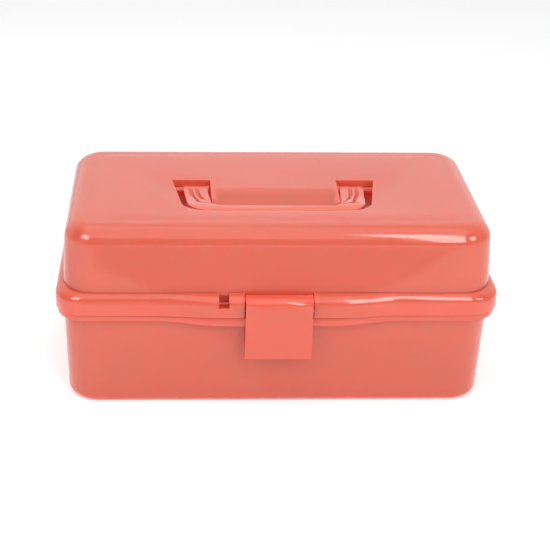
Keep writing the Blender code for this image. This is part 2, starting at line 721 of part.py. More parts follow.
def make_bracket_screw(name, place, side):
    seat = LINK_X - GAP
    end = HALF_X - lid_wall_inset(place.y) - WALL / 2 - 0.0009
    profile = [
        (0.0, seat - SCREW_HEAD_THICKNESS),
        (SCREW_HEAD * 0.7, seat - SCREW_HEAD_THICKNESS),
        (SCREW_HEAD, seat - SCREW_HEAD_THICKNESS / 2),
        (SCREW_HEAD, seat),
        (SCREW_RADIUS, seat),
        (SCREW_RADIUS, end),
        (0.0, end),
    ]
    return turned(name, profile, place, side)


def make_latch():
    """A plate that hangs from its pin over the bead, with a hook that catches under the base's lip."""
    back = LATCH_FRONT + LATCH_THICKNESS
    outline = []
    for i in range(9):
        angle = i * (math.pi / 2) / 8
        outline.append((
            LATCH_AXIS.x + (LATCH_FRONT - LATCH_AXIS.x) * math.sin(angle),
            LATCH_SHOULDER + (LATCH_TOP - LATCH_SHOULDER) * math.cos(angle),
        ))
    outline += [
        (LATCH_FRONT, LATCH_BOTTOM + 0.001),
        (LATCH_FRONT + 0.001, LATCH_BOTTOM),
        (back, LATCH_BOTTOM),
        (back, LATCH_HOOK_BOTTOM - 0.004),
        (LATCH_HOOK_TIP, LATCH_HOOK_BOTTOM),
        (LATCH_HOOK_TIP, LATCH_HOOK_TOP),
        (back, LATCH_HOOK_TOP),
        (back, LATCH_AXIS.y - 0.006),
        (LATCH_AXIS.x, LATCH_AXIS.y - 0.002),
    ]
    latch = prism("latch", outline, -LATCH_HALF_WIDTH, LATCH_HALF_WIDTH, axis="X")
    join(latch, rod("barrel", LATCH_BARREL, -LATCH_HALF_WIDTH, LATCH_HALF_WIDTH, LATCH_AXIS, 24))
    cut(latch, rod("bore", PIN_BORE, -LATCH_HALF_WIDTH - 0.001, LATCH_HALF_WIDTH + 0.001, LATCH_AXIS))
    return latch


def make_handle():
    """A U-shaped bail: a grip along the front, two ribbed arms, and a stub on each that turns in the well."""
    outer = bent_outline(HANDLE_HALF_X, HANDLE_AXIS.x, HANDLE_SIDE_X, HANDLE_SIDE_Y, HANDLE_BEND_X, HANDLE_FRONT)
    handle = prism("handle", outer, HANDLE_BOTTOM, HANDLE_GRIP_TOP)
    inner = opening_outline(HANDLE_INNER_X, HANDLE_INNER_SIDE_X, HANDLE_GRIP_BACK, HANDLE_INNER_BEND, 0.03)
    cut(handle, prism("opening", inner, HANDLE_BOTTOM - 0.01, HANDLE_GRIP_TOP + 0.01))
    sloped = [
        (HANDLE_AXIS.x + 0.01, HANDLE_ARM_TOP),
        (HANDLE_RISE_START, HANDLE_ARM_TOP),
        (HANDLE_RISE_END, HANDLE_GRIP_TOP + 0.00001),
        (HANDLE_AXIS.x + 0.01, HANDLE_GRIP_TOP + 0.01),
    ]
    cut(handle, prism("arm_top", sloped, -HANDLE_HALF_X - 0.01, HANDLE_HALF_X + 0.01, axis="X"))
    reach = HANDLE_ARM_TOP - HANDLE_AXIS.y
    under = [
        (HANDLE_AXIS.x + 0.01, HANDLE_BOTTOM - 0.001),
        (HANDLE_AXIS.x + 0.01, HANDLE_AXIS.y - reach),
        (HANDLE_RISE_START, HANDLE_AXIS.y - reach),
        (HANDLE_RISE_END, HANDLE_BOTTOM - 0.001),
    ]
    cut(handle, prism("arm_under", under, -HANDLE_HALF_X - 0.01, HANDLE_HALF_X + 0.01, axis="X"))
    for side in (-1, 1):
        join(handle, rod("eye", reach, side * HANDLE_HUB_END, side * HANDLE_HALF_X, HANDLE_AXIS, 24))
        join(handle, rod("stub", HANDLE_STUB, side * (HANDLE_HALF_X - 0.002), side * HANDLE_STUB_END, HANDLE_AXIS))
        for inset, end in zip(GROOVE_INSETS, GROOVE_ENDS):
            cut(handle, make_groove(side, inset, end))
    return handle


def arm_top_height(y):
    rise = min(1.0, max(0.0, (y - HANDLE_RISE_START) / (HANDLE_RISE_END - HANDLE_RISE_START)))
    return HANDLE_ARM_TOP + (HANDLE_GRIP_TOP - HANDLE_ARM_TOP) * rise


def make_groove(side, inset, end, steps=6):
    """A slot in an arm's top that follows its outer edge, inset from it, and bends towards the grip."""
    start = 0.0010
    loops = []
    for i in range(steps + 1):
        y = start + (end - start) * i / steps
        lean = (HANDLE_HALF_X - HANDLE_SIDE_X) / (HANDLE_AXIS.x - HANDLE_SIDE_Y)
        x = HANDLE_HALF_X - inset - lean * (HANDLE_AXIS.x - y) - 0.003 * ease(y, -0.008, HANDLE_SIDE_Y)
        top = HANDLE_GRIP_TOP + 0.002
        floor = arm_top_height(y) - GROOVE_DEPTH
        half = GROOVE_WIDTH / 2
        loops.append([
            (side * (x - half), y, top),
            (side * (x - half), y, floor + 0.0004),
            (side * x, y, floor),
            (side * (x + half), y, floor + 0.0004),
            (side * (x + half), y, top),
        ])
    return loft("groove", loops)


def place_under(axis_empty, *pieces):
    """Parents pieces to the empty on their joint's axis, and leaves them where they are."""
    bpy.context.view_layer.update()
    for piece in pieces:
        piece.parent = axis_empty
        piece.matrix_parent_inverse = axis_empty.matrix_world.inverted()


def joint_empty(name, place, parent=None):
    empty = bpy.data.objects.new(name, None)
    bpy.context.scene.collection.objects.link(empty)
    empty.location = (0.0, place.x, place.y)
    if parent:
        place_under(parent, empty)
    bpy.context.view_layer.update()
    return empty


def finish_piece(piece, material, collection):
    piece.data.materials.clear()
    piece.data.materials.append(material)
    if not piece.modifiers:
        piece.data.shade_smooth()
        piece.data.set_sharp_from_angle(angle=math.radians(32))
    for owner in list(piece.users_collection):
        owner.objects.unlink(piece)
    collection.objects.link(piece)


def build():
    clear_scene()
    collection = bpy.data.collections.new("sewing_box")
    bpy.context.scene.collection.children.link(collection)
    coral = make_material("coral_plastic", CORAL, 0.22)
    frost = make_material("frosted_plastic", FROST, 0.4)
    steel = make_material("steel", STEEL, 0.3, 1.0)

    lid_axis = joint_empty("lid_axis", HINGE_AXIS)
    arm_axis = joint_empty("arm_axis", ARM_AXIS)
    upper_axis = joint_empty("upper_tray_axis", UPPER_LID_PIVOT, lid_axis)
    lower_axis = joint_empty("lower_tray_axis", LOWER_LID_PIVOT, lid_axis)
    latch_axis = joint_empty("latch_axis", LATCH_AXIS, lid_axis)
    handle_axis = joint_empty("handle_axis", HANDLE_AXIS, lid_axis)

    base = make_base()
    lid = make_lid()
    handle = make_handle()
    latch = make_latch()
    upper = make_tray("upper_tray", UPPER_TRAY_BACK, UPPER_TRAY_Z)
    upper_dividers = make_dividers("upper", UPPER_TRAY_BACK, UPPER_TRAY_Z, UPPER_TRAY_SPLIT,
                                   UPPER_FRONT_BAYS, UPPER_BACK_BAYS)
    bore_tray(upper, (UPPER_LID_PIVOT, UPPER_ARM_PIVOT))
    lower = make_tray("lower_tray", LOWER_TRAY_BACK, LOWER_TRAY_Z)
    lower_dividers = make_dividers("lower", LOWER_TRAY_BACK, LOWER_TRAY_Z, LOWER_TRAY_SPLIT,
                                   LOWER_FRONT_BAYS, LOWER_BACK_BAYS)
    bore_tray(lower, (LOWER_LID_PIVOT, LOWER_ARM_PIVOT))
    latch_pin = rod("latch_pin", PIN_RADIUS, PIN_LEFT, PIN_RIGHT, LATCH_AXIS)

    place_under(lid_axis, lid, latch_pin)
    place_under(handle_axis, handle)
    place_under(latch_axis, latch)
    place_under(upper_axis, upper, *upper_dividers)
    place_under(lower_axis, lower, *lower_dividers)
    plastic = [base, lid, handle, latch, latch_pin]
    frosted = [upper, lower, *upper_dividers, *lower_dividers]
    metal = []

    for side, word in ((-1, "left"), (1, "right")):
        hinge_pin = rod("hinge_pin_" + word, PIN_RADIUS, side * HINGE_X - 1.5 * KNUCKLE,
                        side * HINGE_X + 1.5 * KNUCKLE, HINGE_AXIS)
        arm = make_front_arm("front_arm_" + word, side)
        bracket = make_lid_bracket("lid_bracket_" + word, side)
        arm_pin = make_arm_pin("arm_base_pin_" + word, side)
        arm_rivets = [
            make_tray_rivet("lower_arm_rivet_" + word, LOWER_ARM_PIVOT, side),
            make_tray_rivet("upper_arm_rivet_" + word, UPPER_ARM_PIVOT, side),
        ]
        lid_rivets = [
            make_tray_rivet("lower_bracket_rivet_" + word, LOWER_LID_PIVOT, side),
            make_tray_rivet("upper_bracket_rivet_" + word, UPPER_LID_PIVOT, side),
        ]
        screws = [
            make_bracket_screw(f"bracket_screw_{i + 1}_{word}", place, side)
            for i, place in enumerate(BRACKET_SCREWS)
        ]
        place_under(arm_axis, arm, *arm_rivets)
        place_under(lid_axis, bracket, *lid_rivets, *screws)
        frosted += [arm, bracket, arm_pin, *arm_rivets, *lid_rivets]
        metal += [hinge_pin, *screws]

    for pieces, material in ((plastic, coral), (frosted, frost), (metal, steel)):
        for piece in pieces:
            finish_piece(piece, material, collection)


build()
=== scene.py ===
"""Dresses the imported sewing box: refined moulded parts, procedural materials, studio light and camera."""

import math

import bmesh
import bpy
from mathutils import Matrix, Vector


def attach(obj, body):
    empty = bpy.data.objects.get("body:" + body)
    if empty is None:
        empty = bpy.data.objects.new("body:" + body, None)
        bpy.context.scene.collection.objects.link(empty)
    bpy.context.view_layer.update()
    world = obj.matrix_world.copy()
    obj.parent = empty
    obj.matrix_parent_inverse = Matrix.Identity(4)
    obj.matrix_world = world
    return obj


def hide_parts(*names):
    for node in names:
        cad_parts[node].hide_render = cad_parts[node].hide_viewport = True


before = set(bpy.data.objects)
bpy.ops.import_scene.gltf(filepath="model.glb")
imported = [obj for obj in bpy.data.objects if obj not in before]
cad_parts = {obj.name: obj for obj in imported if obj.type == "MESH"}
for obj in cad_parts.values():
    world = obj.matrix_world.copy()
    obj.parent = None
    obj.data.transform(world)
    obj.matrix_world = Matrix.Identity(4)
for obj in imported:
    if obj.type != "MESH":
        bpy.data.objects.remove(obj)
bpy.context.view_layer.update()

# Dimensions shared with the CAD model, in metres.
LENGTH = 0.325
DEPTH = 0.1785
HEIGHT = 0.1422
WALL = 0.0022
GAP = 0.0003
HALF_X = LENGTH / 2
HALF_Y = DEPTH / 2
BASE_DRAFT = math.radians(1.4)
BASE_WALL_INSET = 0.0052
BASE_CORNER = 0.0239
BASE_FOOT_FILLET = 0.0062
FLOOR_MARGIN = 0.012
LIP_INSET = 0.0015
LIP_BOTTOM = 0.0718
LIP_TOP = 0.0764
RIM_INSET = 0.0029
RIM_TOP = 0.086
RIM_WALL = 0.002
LID_DRAFT = math.radians(2.66)
LID_CORNER = 0.0232
LID_TOP_FILLET = 0.0137
BEAD_CORNER = 0.0217
BEAD_BOTTOM = 0.0767
BEAD_TOP = 0.0933
BEAD_SHOULDER = 0.0073
BEAD_REACH = 0.0056
PANEL_INSET = 0.0275
PANEL_CORNER = 0.011
PANEL_RISE = 0.0005
PANEL_MARGIN = 0.008
BULGE = 0.0035
BULGE_DROP = 0.0026
BULGE_FLAT = 0.044
BULGE_END = 0.088
HINGE_AXIS = Vector((HALF_Y + 0.004, 0.0765))
HINGE_X = 0.095
BARREL_RADIUS = 0.0035
PIN_RADIUS = 0.0015
PIN_BORE = 0.0018
KNUCKLE = 0.012
KNUCKLE_GAP = 0.0004
LEAF_DEPTH = 0.003
LOWER_CRANK = Vector((-0.0515, -0.007))
UPPER_CRANK = Vector((-0.090, 0.0215))
ARM_AXIS = Vector((0.027, 0.070))
LOWER_LID_PIVOT = HINGE_AXIS + LOWER_CRANK
UPPER_LID_PIVOT = HINGE_AXIS + UPPER_CRANK
LOWER_ARM_PIVOT = ARM_AXIS + LOWER_CRANK
UPPER_ARM_PIVOT = ARM_AXIS + UPPER_CRANK
BRACKET_SCREWS = (Vector((0.052, 0.106)), Vector((0.028, 0.120)))
LINK_RADIUS = 0.0062
LINK_THICKNESS = 0.0026
LINK_X = 0.1479
TRAY_HALF_X = 0.1475
TRAY_WALL = 0.0018
TRAY_HEIGHT = 0.030
TRAY_FRONT = -0.078
TRAY_CORNER = 0.010
TRAY_FOOT = 0.003
DIVIDER = 0.0016
DIVIDER_HEIGHT = 0.027
DIVIDER_TOE = 0.0018
UPPER_TRAY = {"back": 0.018, "z": 0.079, "split": -0.049, "front_bays": 10, "back_bays": 3}
LOWER_TRAY = {"back": 0.0565, "z": 0.046, "split": -0.043, "front_bays": 1, "back_bays": 4}
RIVET_RADIUS = 0.0016
RIVET_BORE = 0.0019
RIVET_HEAD = 0.0040
RIVET_HEAD_THICKNESS = 0.0012
ARM_BOSS_RADIUS = 0.0068
SCREW_RADIUS = 0.0013
SCREW_BORE = 0.0016
SCREW_HEAD = 0.0030
SCREW_HEAD_THICKNESS = 0.0014
SCREW_BOSS = 0.0048
RECESS_LENGTH = 0.0016
RECESS_WIDTH = 0.0003
RECESS_DEPTH = 0.0007
LATCH_HALF_WIDTH = 0.0243
LATCH_AXIS = Vector((-0.0872, 0.0890))
LATCH_BARREL = 0.0040
LATCH_SEAT = 0.0046
LATCH_FRONT = -0.0953
LATCH_TOP = 0.0930
LATCH_BOTTOM = 0.0444
LATCH_SHOULDER = 0.0872
LATCH_THICKNESS = 0.0026
LATCH_HOOK_TOP = 0.0687
LATCH_HOOK_BOTTOM = 0.0655
LATCH_HOOK_TIP = -0.0885
LATCH_SLOT_HALF = 0.0252
LATCH_CHEEK = 0.0034
LATCH_WEB_HALF = 0.046
LATCH_WEB = (-0.0822, -0.0802)
STOP_WIDTH = 0.0016
PIN_LEFT = -0.0342
PIN_RIGHT = 0.0286
NOTCH_LEFT = -0.0436
NOTCH_RIGHT = -0.0362
NOTCH_BOTTOM = 0.0847
WELL_HALF_X = 0.0773
WELL_BACK = 0.0104
WELL_SIDE_X = 0.0708
WELL_SIDE_Y = -0.032
WELL_BEND_X = 0.050
WELL_FRONT = -0.0476
WELL_FLOOR = 0.1310
WELL_WALL = 0.0018
HANDLE_AXIS = Vector((0.0056, 0.1354))
HANDLE_HALF_X = 0.0690
HANDLE_SIDE_X = 0.0662
HANDLE_SIDE_Y = -0.030
HANDLE_BEND_X = 0.0495
HANDLE_FRONT = -0.0472
HANDLE_INNER_X = 0.0512
HANDLE_INNER_SIDE_X = 0.0486
HANDLE_GRIP_BACK = -0.0384
HANDLE_INNER_BEND = 0.009
HANDLE_ARM_TOP = 0.1390
HANDLE_RISE_START = -0.014
HANDLE_RISE_END = -0.036
HANDLE_GRIP_TOP = 0.1421
HANDLE_BOTTOM = 0.1325
HANDLE_STUB = 0.0024
HANDLE_STUB_END = 0.0786
HANDLE_HUB_END = 0.0492
GROOVE_WIDTH = 0.0030
GROOVE_DEPTH = 0.0021
GROOVE_INSETS = (0.0052, 0.0100)
GROOVE_START = 0.0020
GROOVE_ENDS = (-0.029, -0.022)
ISLAND_GAP = 0.0008
ISLAND_HALF_X = 0.0484
ISLAND_EDGE = 0.0005
SCOOP_DEPTH = 0.0110
SCOOP_BACK = -0.0035
SCOOP_FULL = -0.0384
SCOOP_ENTRY = 0.25
SCOOP_INNER_X = 0.0425
SCOOP_OUTER_X = 0.0478

# Fineness of the curved surfaces.
CORNER_STEPS = 14
RAMP_STEPS = 12
FILLET_STEPS = 10
SCOOP_COLUMNS = 48
SCOOP_ROWS = 24

# Small shared measures: how far a cutter passes the face it cuts, the eased edge of a moulded or turned part,
# and the pull that makes a cubic curve follow a quarter circle.
PAST = 0.001
MOULDED_EDGE = 0.0004
TURNED_EDGE = 0.0003
ROUND_PULL = 0.5523


# ---------------------------------------------------------------- meshes

def object_from_bmesh(name, bm):
    bmesh.ops.recalc_face_normals(bm, faces=bm.faces)
    mesh = bpy.data.meshes.new(name)
    bm.to_mesh(mesh)
    bm.free()
    obj = bpy.data.objects.new(name, mesh)
    bpy.context.scene.collection.objects.link(obj)
    return obj


def loft(name, loops):
    bm = bmesh.new()
    rings = [[bm.verts.new(point) for point in loop] for loop in loops]
    for lower, upper in zip(rings, rings[1:]):
        for i in range(len(lower)):
            j = (i + 1) % len(lower)
            bm.faces.new((lower[i], lower[j], upper[j], upper[i]))
    bm.faces.new(rings[0])
    bm.faces.new(rings[-1])
    return object_from_bmesh(name, bm)


def prism(name, outline, low, high, axis="Z"):
    if axis == "Z":
        loops = [[(a, b, level) for a, b in outline] for level in (low, high)]
    else:
        loops = [[(level, a, b) for a, b in outline] for level in (low, high)]
    return loft(name, loops)


def box(name, low, high):
    outline = [(low[0], low[1]), (high[0], low[1]), (high[0], high[1]), (low[0], high[1])]
    return prism(name, outline, low[2], high[2])


def rod(name, radius, start, end, centre, segments=32, edge=0.0):
    """A cylinder along X, centred on (y, z), with its two rims softened by edge."""
    stations = [(start, radius), (end, radius)]
    if edge:
        inward = edge if end > start else -edge
        stations = [
            (start, radius - edge),
            (start + inward, radius),
            (end - inward, radius),
            (end, radius - edge),
        ]
    loops = []
    for x, reach in stations:
        loops.append([
            (x, centre[0] + reach * math.cos(2 * math.pi * i / segments),
             centre[1] + reach * math.sin(2 * math.pi * i / segments))
            for i in range(segments)
        ])
    return loft(name, loops)


def combine(target, other, operation):
    modifier = target.modifiers.new("Boolean", "BOOLEAN")
    modifier.operation = operation
    modifier.solver = "EXACT"
    modifier.object = other
    graph = bpy.context.evaluated_depsgraph_get()
    shape = bpy.data.meshes.new_from_object(target.evaluated_get(graph))
    target.modifiers.remove(modifier)
    target.data = shape
    bpy.data.objects.remove(other, do_unlink=True)


def join(target, other):
    combine(target, other, "UNION")


def cut(target, other):
    combine(target, other, "DIFFERENCE")


def quarter_steps(steps):
    return [i * (math.pi / 2) / steps for i in range(steps + 1)]


def ease(value, start, end):
    """0 at start, 1 at end, level at both."""
    t = min(1.0, max(0.0, (value - start) / (end - start)))
    return t * t * (3 - 2 * t)


def front_stations():
    ramp = [BULGE_FLAT + (BULGE_END - BULGE_FLAT) * i / RAMP_STEPS for i in range(RAMP_STEPS + 1)]
    return [-x for x in reversed(ramp)] + ramp


def rounded_loop(half_x, half_y, z, corner, bulge=0.0, drop=0.0, middle=0.0):
    """A rounded rectangle whose front edge swells by bulge and dips by drop round its centre."""
    points = []
    for x in front_stations():
        share = ease(abs(x), BULGE_END, BULGE_FLAT)
        points.append((x, middle - half_y - bulge * share, z - drop * share))
    for quarter in range(4):
        start = -math.pi / 2 + quarter * math.pi / 2
        sign_x = 1 if quarter in (0, 1) else -1
        sign_y = -1 if quarter in (0, 3) else 1
        for i in range(CORNER_STEPS + 1):
            angle = start + i * (math.pi / 2) / CORNER_STEPS
            points.append((
                sign_x * (half_x - corner) + corner * math.cos(angle),
                middle + sign_y * (half_y - corner) + corner * math.sin(angle),
                z,
            ))
    return points


def soften(profile, steps=3):
    """Rounds a profile's corners. Each point is (values, cut): cut is how far the rounding reaches."""
    smooth = []
    count = len(profile)
    for i, (values, reach) in enumerate(profile):
        here = Vector(values)
        if not reach or i in (0, count - 1):
            smooth.append(tuple(here))
            continue
        ends = []
        for other in (profile[i - 1][0], profile[i + 1][0]):
            way = Vector(other) - here
            flat = math.hypot(way[0], way[1])
            ends.append(here + way * min(1.0, reach / flat))
        first, last = ends
        for k in range(steps + 1):
            t = k / steps
            inner_first = first.lerp(here, ROUND_PULL)
            inner_last = last.lerp(here, ROUND_PULL)
            point = (first * (1 - t) ** 3 + inner_first * 3 * t * (1 - t) ** 2
                     + inner_last * 3 * t * t * (1 - t) + last * t ** 3)
            smooth.append(tuple(point))
    return smooth


def shell(name, profile):
    """A loft through rounded rectangles, each given as (inset, z, corner, bulge, drop)."""
    loops = [
        rounded_loop(HALF_X - inset, HALF_Y - inset, z, corner, bulge, drop)
        for inset, z, corner, bulge, drop in profile
    ]
    return loft(name, loops)


def turned(name, profile, place, side, segments=32):
    """A solid of revolution about X through (y, z), from a profile of (radius, distance from the middle)."""
    bm = bmesh.new()
    rings = []
    for radius, along in profile:
        if radius == 0:
            rings.append([bm.verts.new((side * along, place.x, place.y))])
            continue
        rings.append([
            bm.verts.new((side * along, place.x + radius * math.cos(2 * math.pi * i / segments),
                          place.y + radius * math.sin(2 * math.pi * i / segments)))
            for i in range(segments)
        ])
    for lower, upper in zip(rings, rings[1:]):
        for i in range(segments):
            j = (i + 1) % segments
            corners = [ring[k % len(ring)] for ring, k in ((lower, i), (lower, j), (upper, j), (upper, i))]
            bm.faces.new(list(dict.fromkeys(corners)))
    return object_from_bmesh(name, bm)


def turn(a, b, c):
    """Above zero where the path a, b, c turns to the left."""
    return (b[0] - a[0]) * (c[1] - a[1]) - (b[1] - a[1]) * (c[0] - a[0])


def hull_outline(places, radius, steps=48):
    """The outline of discs of this radius round the places, pulled tight as a belt would be."""
    points = []
    for place in places:
        for i in range(steps):
            angle = 2 * math.pi * i / steps
            points.append((place.x + radius * math.cos(angle), place.y + radius * math.sin(angle)))
    points.sort()

    def half(ordered):
        chain = []
        for point in ordered:
            while len(chain) > 1 and turn(chain[-2], chain[-1], point) <= 0:
                chain.pop()
            chain.append(point)
        return chain[:-1]

    return half(points) + half(list(reversed(points)))


def round_edges(obj, width, segments=2, angle=40):
    """A real bevel along the sharp edges, applied."""
    modifier = obj.modifiers.new("Bevel", "BEVEL")
    modifier.width = width
    modifier.segments = segments
    modifier.limit_method = "ANGLE"
    modifier.angle_limit = math.radians(angle)
    modifier.use_clamp_overlap = True
    graph = bpy.context.evaluated_depsgraph_get()
    shape = bpy.data.meshes.new_from_object(obj.evaluated_get(graph))
    obj.modifiers.clear()
    obj.data = shape
    return obj


# ---------------------------------------------------------------- base

def base_wall_inset(z):
    return BASE_WALL_INSET + (LIP_BOTTOM - z) * math.tan(BASE_DRAFT)


def make_base():
    inner_corner = BASE_CORNER - WALL
    outer_foot = base_wall_inset(0.0)
    inner_foot = base_wall_inset(WALL) + WALL
    rim_corner = BEAD_CORNER - RIM_INSET
    foot = soften([
        ((outer_foot + FLOOR_MARGIN, 0.0, BASE_CORNER - FLOOR_MARGIN, 0, 0), 0),
        ((outer_foot, 0.0, BASE_CORNER, 0, 0), BASE_FOOT_FILLET),
        ((BASE_WALL_INSET, LIP_BOTTOM, BASE_CORNER, 0, BULGE_DROP), 0),
    ], FILLET_STEPS)
    lip = soften([
        ((BASE_WALL_INSET, LIP_BOTTOM, BASE_CORNER, 0, BULGE_DROP), 0),
        ((BASE_WALL_INSET, LIP_BOTTOM + 0.0001, BASE_CORNER, 0, BULGE_DROP), 0),
        ((LIP_INSET, LIP_BOTTOM, BEAD_CORNER - LIP_INSET, BULGE, BULGE_DROP), 0.0008),
        ((LIP_INSET, LIP_TOP, BEAD_CORNER - LIP_INSET, BULGE, 0), 0.0005),
        ((RIM_INSET, LIP_TOP, rim_corner, 0, 0), 0.0002),
        ((RIM_INSET, RIM_TOP, rim_corner, 0, 0), 0.0006),
        ((RIM_INSET + RIM_WALL, RIM_TOP, rim_corner - RIM_WALL, 0, 0), 0.0006),
        ((RIM_INSET + RIM_WALL, LIP_TOP, rim_corner - RIM_WALL, 0, 0), 0.0010),
        ((base_wall_inset(LIP_BOTTOM) + WALL, LIP_BOTTOM, inner_corner, 0, 0), 0.0010),
    ])
    inside = soften([
        ((base_wall_inset(LIP_BOTTOM) + WALL, LIP_BOTTOM - 0.001, inner_corner, 0, 0), 0),
        ((inner_foot, WALL, inner_corner, 0, 0), BASE_FOOT_FILLET - WALL),
        ((inner_foot + FLOOR_MARGIN, WALL, inner_corner - FLOOR_MARGIN, 0, 0), 0),
    ], FILLET_STEPS - 4)
    base = shell("base_tub_moulded", foot + lip[2:] + inside)
    for side in (-1, 1):
        face = LINK_X + LINK_THICKNESS + 0.0004
        root = HALF_X - BASE_WALL_INSET - WALL / 2
        join(base, rod("boss", ARM_BOSS_RADIUS, side * face, side * root, ARM_AXIS, 40))
        cut(base, rod("bore", RIVET_BORE, side * (face - PAST), side * (root - 0.0006), ARM_AXIS))
    cut(base, box("rim_notch", (NOTCH_RIGHT - GAP, -HALF_Y, LIP_TOP + 0.0012),
                  (-NOTCH_RIGHT + GAP, -HALF_Y + 0.009, RIM_TOP + PAST)))
    for centre in (-HINGE_X, HINGE_X):
        for side in (-1, 1):
            add_knuckle(base, centre + side * (KNUCKLE + KNUCKLE_GAP), below=True)
        cut(base, rod("bore", PIN_BORE, centre - 2 * KNUCKLE, centre + 2 * KNUCKLE, HINGE_AXIS))
    return base


def add_knuckle(body, middle, below):
    """A hinge knuckle on its leaf, from the lip below the seam or from the bead above it."""
    low, high = middle - KNUCKLE / 2, middle + KNUCKLE / 2
    join(body, rod("barrel", BARREL_RADIUS, low, high, HINGE_AXIS, edge=MOULDED_EDGE))
    if below:
        y, bottom, top = HALF_Y - LIP_INSET - LEAF_DEPTH / 2, LIP_BOTTOM + 0.0006, LIP_TOP - 0.0004
    else:
        y, bottom, top = HALF_Y - LEAF_DEPTH / 2, BEAD_BOTTOM + 0.0006, BEAD_BOTTOM + 0.0035
    join(body, box("leaf", (low, y, bottom), (high, HINGE_AXIS.x, top)))


# ---------------------------------------------------------------- lid

def lid_wall_inset(z):
    return BEAD_REACH + (z - BEAD_TOP) * math.tan(LID_DRAFT)


def bead_arc(offset, rise, steps):
    """The rounded shoulder of the bead, from the wall outwards, offset inwards by a wall's thickness."""
    points = []
    for angle in quarter_steps(steps):
        inset = BEAD_REACH * (1 - math.sin(angle))
        share = 1 - inset / BEAD_REACH
        corner = BEAD_CORNER + (LID_CORNER - BEAD_CORNER) * (1 - share) - offset
        z = BEAD_TOP - BEAD_SHOULDER + rise * math.cos(angle)
        points.append((inset + offset, z, corner, BULGE * share, 0))
    return points


def top_arc(offset, steps):
    """The wide fillet round the lid's top, offset inwards by a wall's thickness."""
    points = []
    top = HEIGHT - PANEL_RISE
    for angle in quarter_steps(steps):
        z = top - offset - (LID_TOP_FILLET - offset) * (1 - math.cos(angle))
        inward = (LID_TOP_FILLET - offset) * (1 - math.sin(angle))
        points.append((lid_wall_inset(z) + offset + inward, z, LID_CORNER - offset - inward, 0, 0))
    return points


def make_lid():
    top = HEIGHT - PANEL_RISE
    panel = soften([
        ((PANEL_INSET + PANEL_MARGIN, HEIGHT, PANEL_CORNER - PANEL_MARGIN, 0, 0), 0),
        ((PANEL_INSET + 0.0030, HEIGHT, PANEL_CORNER - 0.0030, 0, 0), 0.0028),
        ((PANEL_INSET - 0.0020, top, PANEL_CORNER + 0.0020, 0, 0), 0.0020),
        ((PANEL_INSET - 0.0045, top, PANEL_CORNER + 0.0045, 0, 0), 0),
    ], 6)
    skirt = soften([
        ((0.0, BEAD_TOP - BEAD_SHOULDER, BEAD_CORNER, BULGE, 0), 0),
        ((0.0, BEAD_BOTTOM, BEAD_CORNER, BULGE, 0), 0.0009),
        ((WALL, BEAD_BOTTOM, BEAD_CORNER - WALL, BULGE, 0), 0.0005),
        ((WALL, BEAD_TOP - BEAD_SHOULDER - 0.001, BEAD_CORNER - WALL, BULGE, 0), 0),
    ])
    inner_bead = list(reversed(bead_arc(WALL, BEAD_SHOULDER - WALL, FILLET_STEPS - 4)))
    inner_top = list(reversed(top_arc(WALL, FILLET_STEPS - 2)))
    outer = panel + top_arc(0.0, FILLET_STEPS + 4) + bead_arc(0.0, BEAD_SHOULDER, FILLET_STEPS)
    lid = shell("lid_moulded", outer + skirt[1:] + inner_bead + inner_top)
    add_handle_well(lid)
    add_latch_seat(lid)
    for side in (-1, 1):
        for place in BRACKET_SCREWS:
            face = side * (LINK_X + LINK_THICKNESS + GAP)
            root = side * (HALF_X - lid_wall_inset(place.y) - WALL / 2)
            join(lid, rod("boss", SCREW_BOSS, face, root, place))
            cut(lid, rod("bore", SCREW_BORE, face - side * PAST, root - side * 0.0004, place))
    for centre in (-HINGE_X, HINGE_X):
        add_knuckle(lid, centre, below=False)
        cut(lid, rod("bore", PIN_BORE, centre - KNUCKLE, centre + KNUCKLE, HINGE_AXIS))
    return lid


def bent_outline(half_x, back, side_x, side_y, bend_x, front, steps=20):
    """The outer outline of the handle or its well: two straight arms that bend into the front."""
    right = [(half_x, back)]
    for angle in quarter_steps(steps):
        right.append((
            bend_x + (side_x - bend_x) * math.cos(angle),
            side_y + (front - side_y) * math.sin(angle),
        ))
    return right + [(-x, y) for x, y in reversed(right)]


def opening_outline(half_x, side_x, front, corner, back, steps=14):
    """The outline of the handle's opening, with two round front corners."""
    right = [(half_x, back), (half_x, HANDLE_AXIS.x)]
    for angle in quarter_steps(steps):
        right.append((
            side_x - corner * (1 - math.cos(angle)),
            front + corner * (1 - math.sin(angle)),
        ))
    return right + [(-x, y) for x, y in reversed(right)]


def well_outline(grow):
    return bent_outline(WELL_HALF_X + grow, WELL_BACK + grow, WELL_SIDE_X + grow, WELL_SIDE_Y, WELL_BEND_X,
                        WELL_FRONT - grow)


def island_outline(shrink):
    return opening_outline(ISLAND_HALF_X - shrink, HANDLE_INNER_SIDE_X - ISLAND_GAP - shrink,
                           HANDLE_GRIP_BACK + ISLAND_GAP + shrink, HANDLE_INNER_BEND - ISLAND_GAP,
                           WELL_BACK + 0.005 + shrink)


def flared(name, outline, low, edge, steps=4):
    """A cutter whose mouth opens by a quarter round of radius edge at the lid's top."""
    loops = [[(x, y, low) for x, y in outline(0.0)]]
    for angle in quarter_steps(steps):
        z = HEIGHT - edge * (1 - math.sin(angle))
        loops.append([(x, y, z) for x, y in outline(edge * (1 - math.cos(angle)))])
    loops.append([(x, y, HEIGHT + 4 * PAST) for x, y in outline(edge)])
    return loft(name, loops)


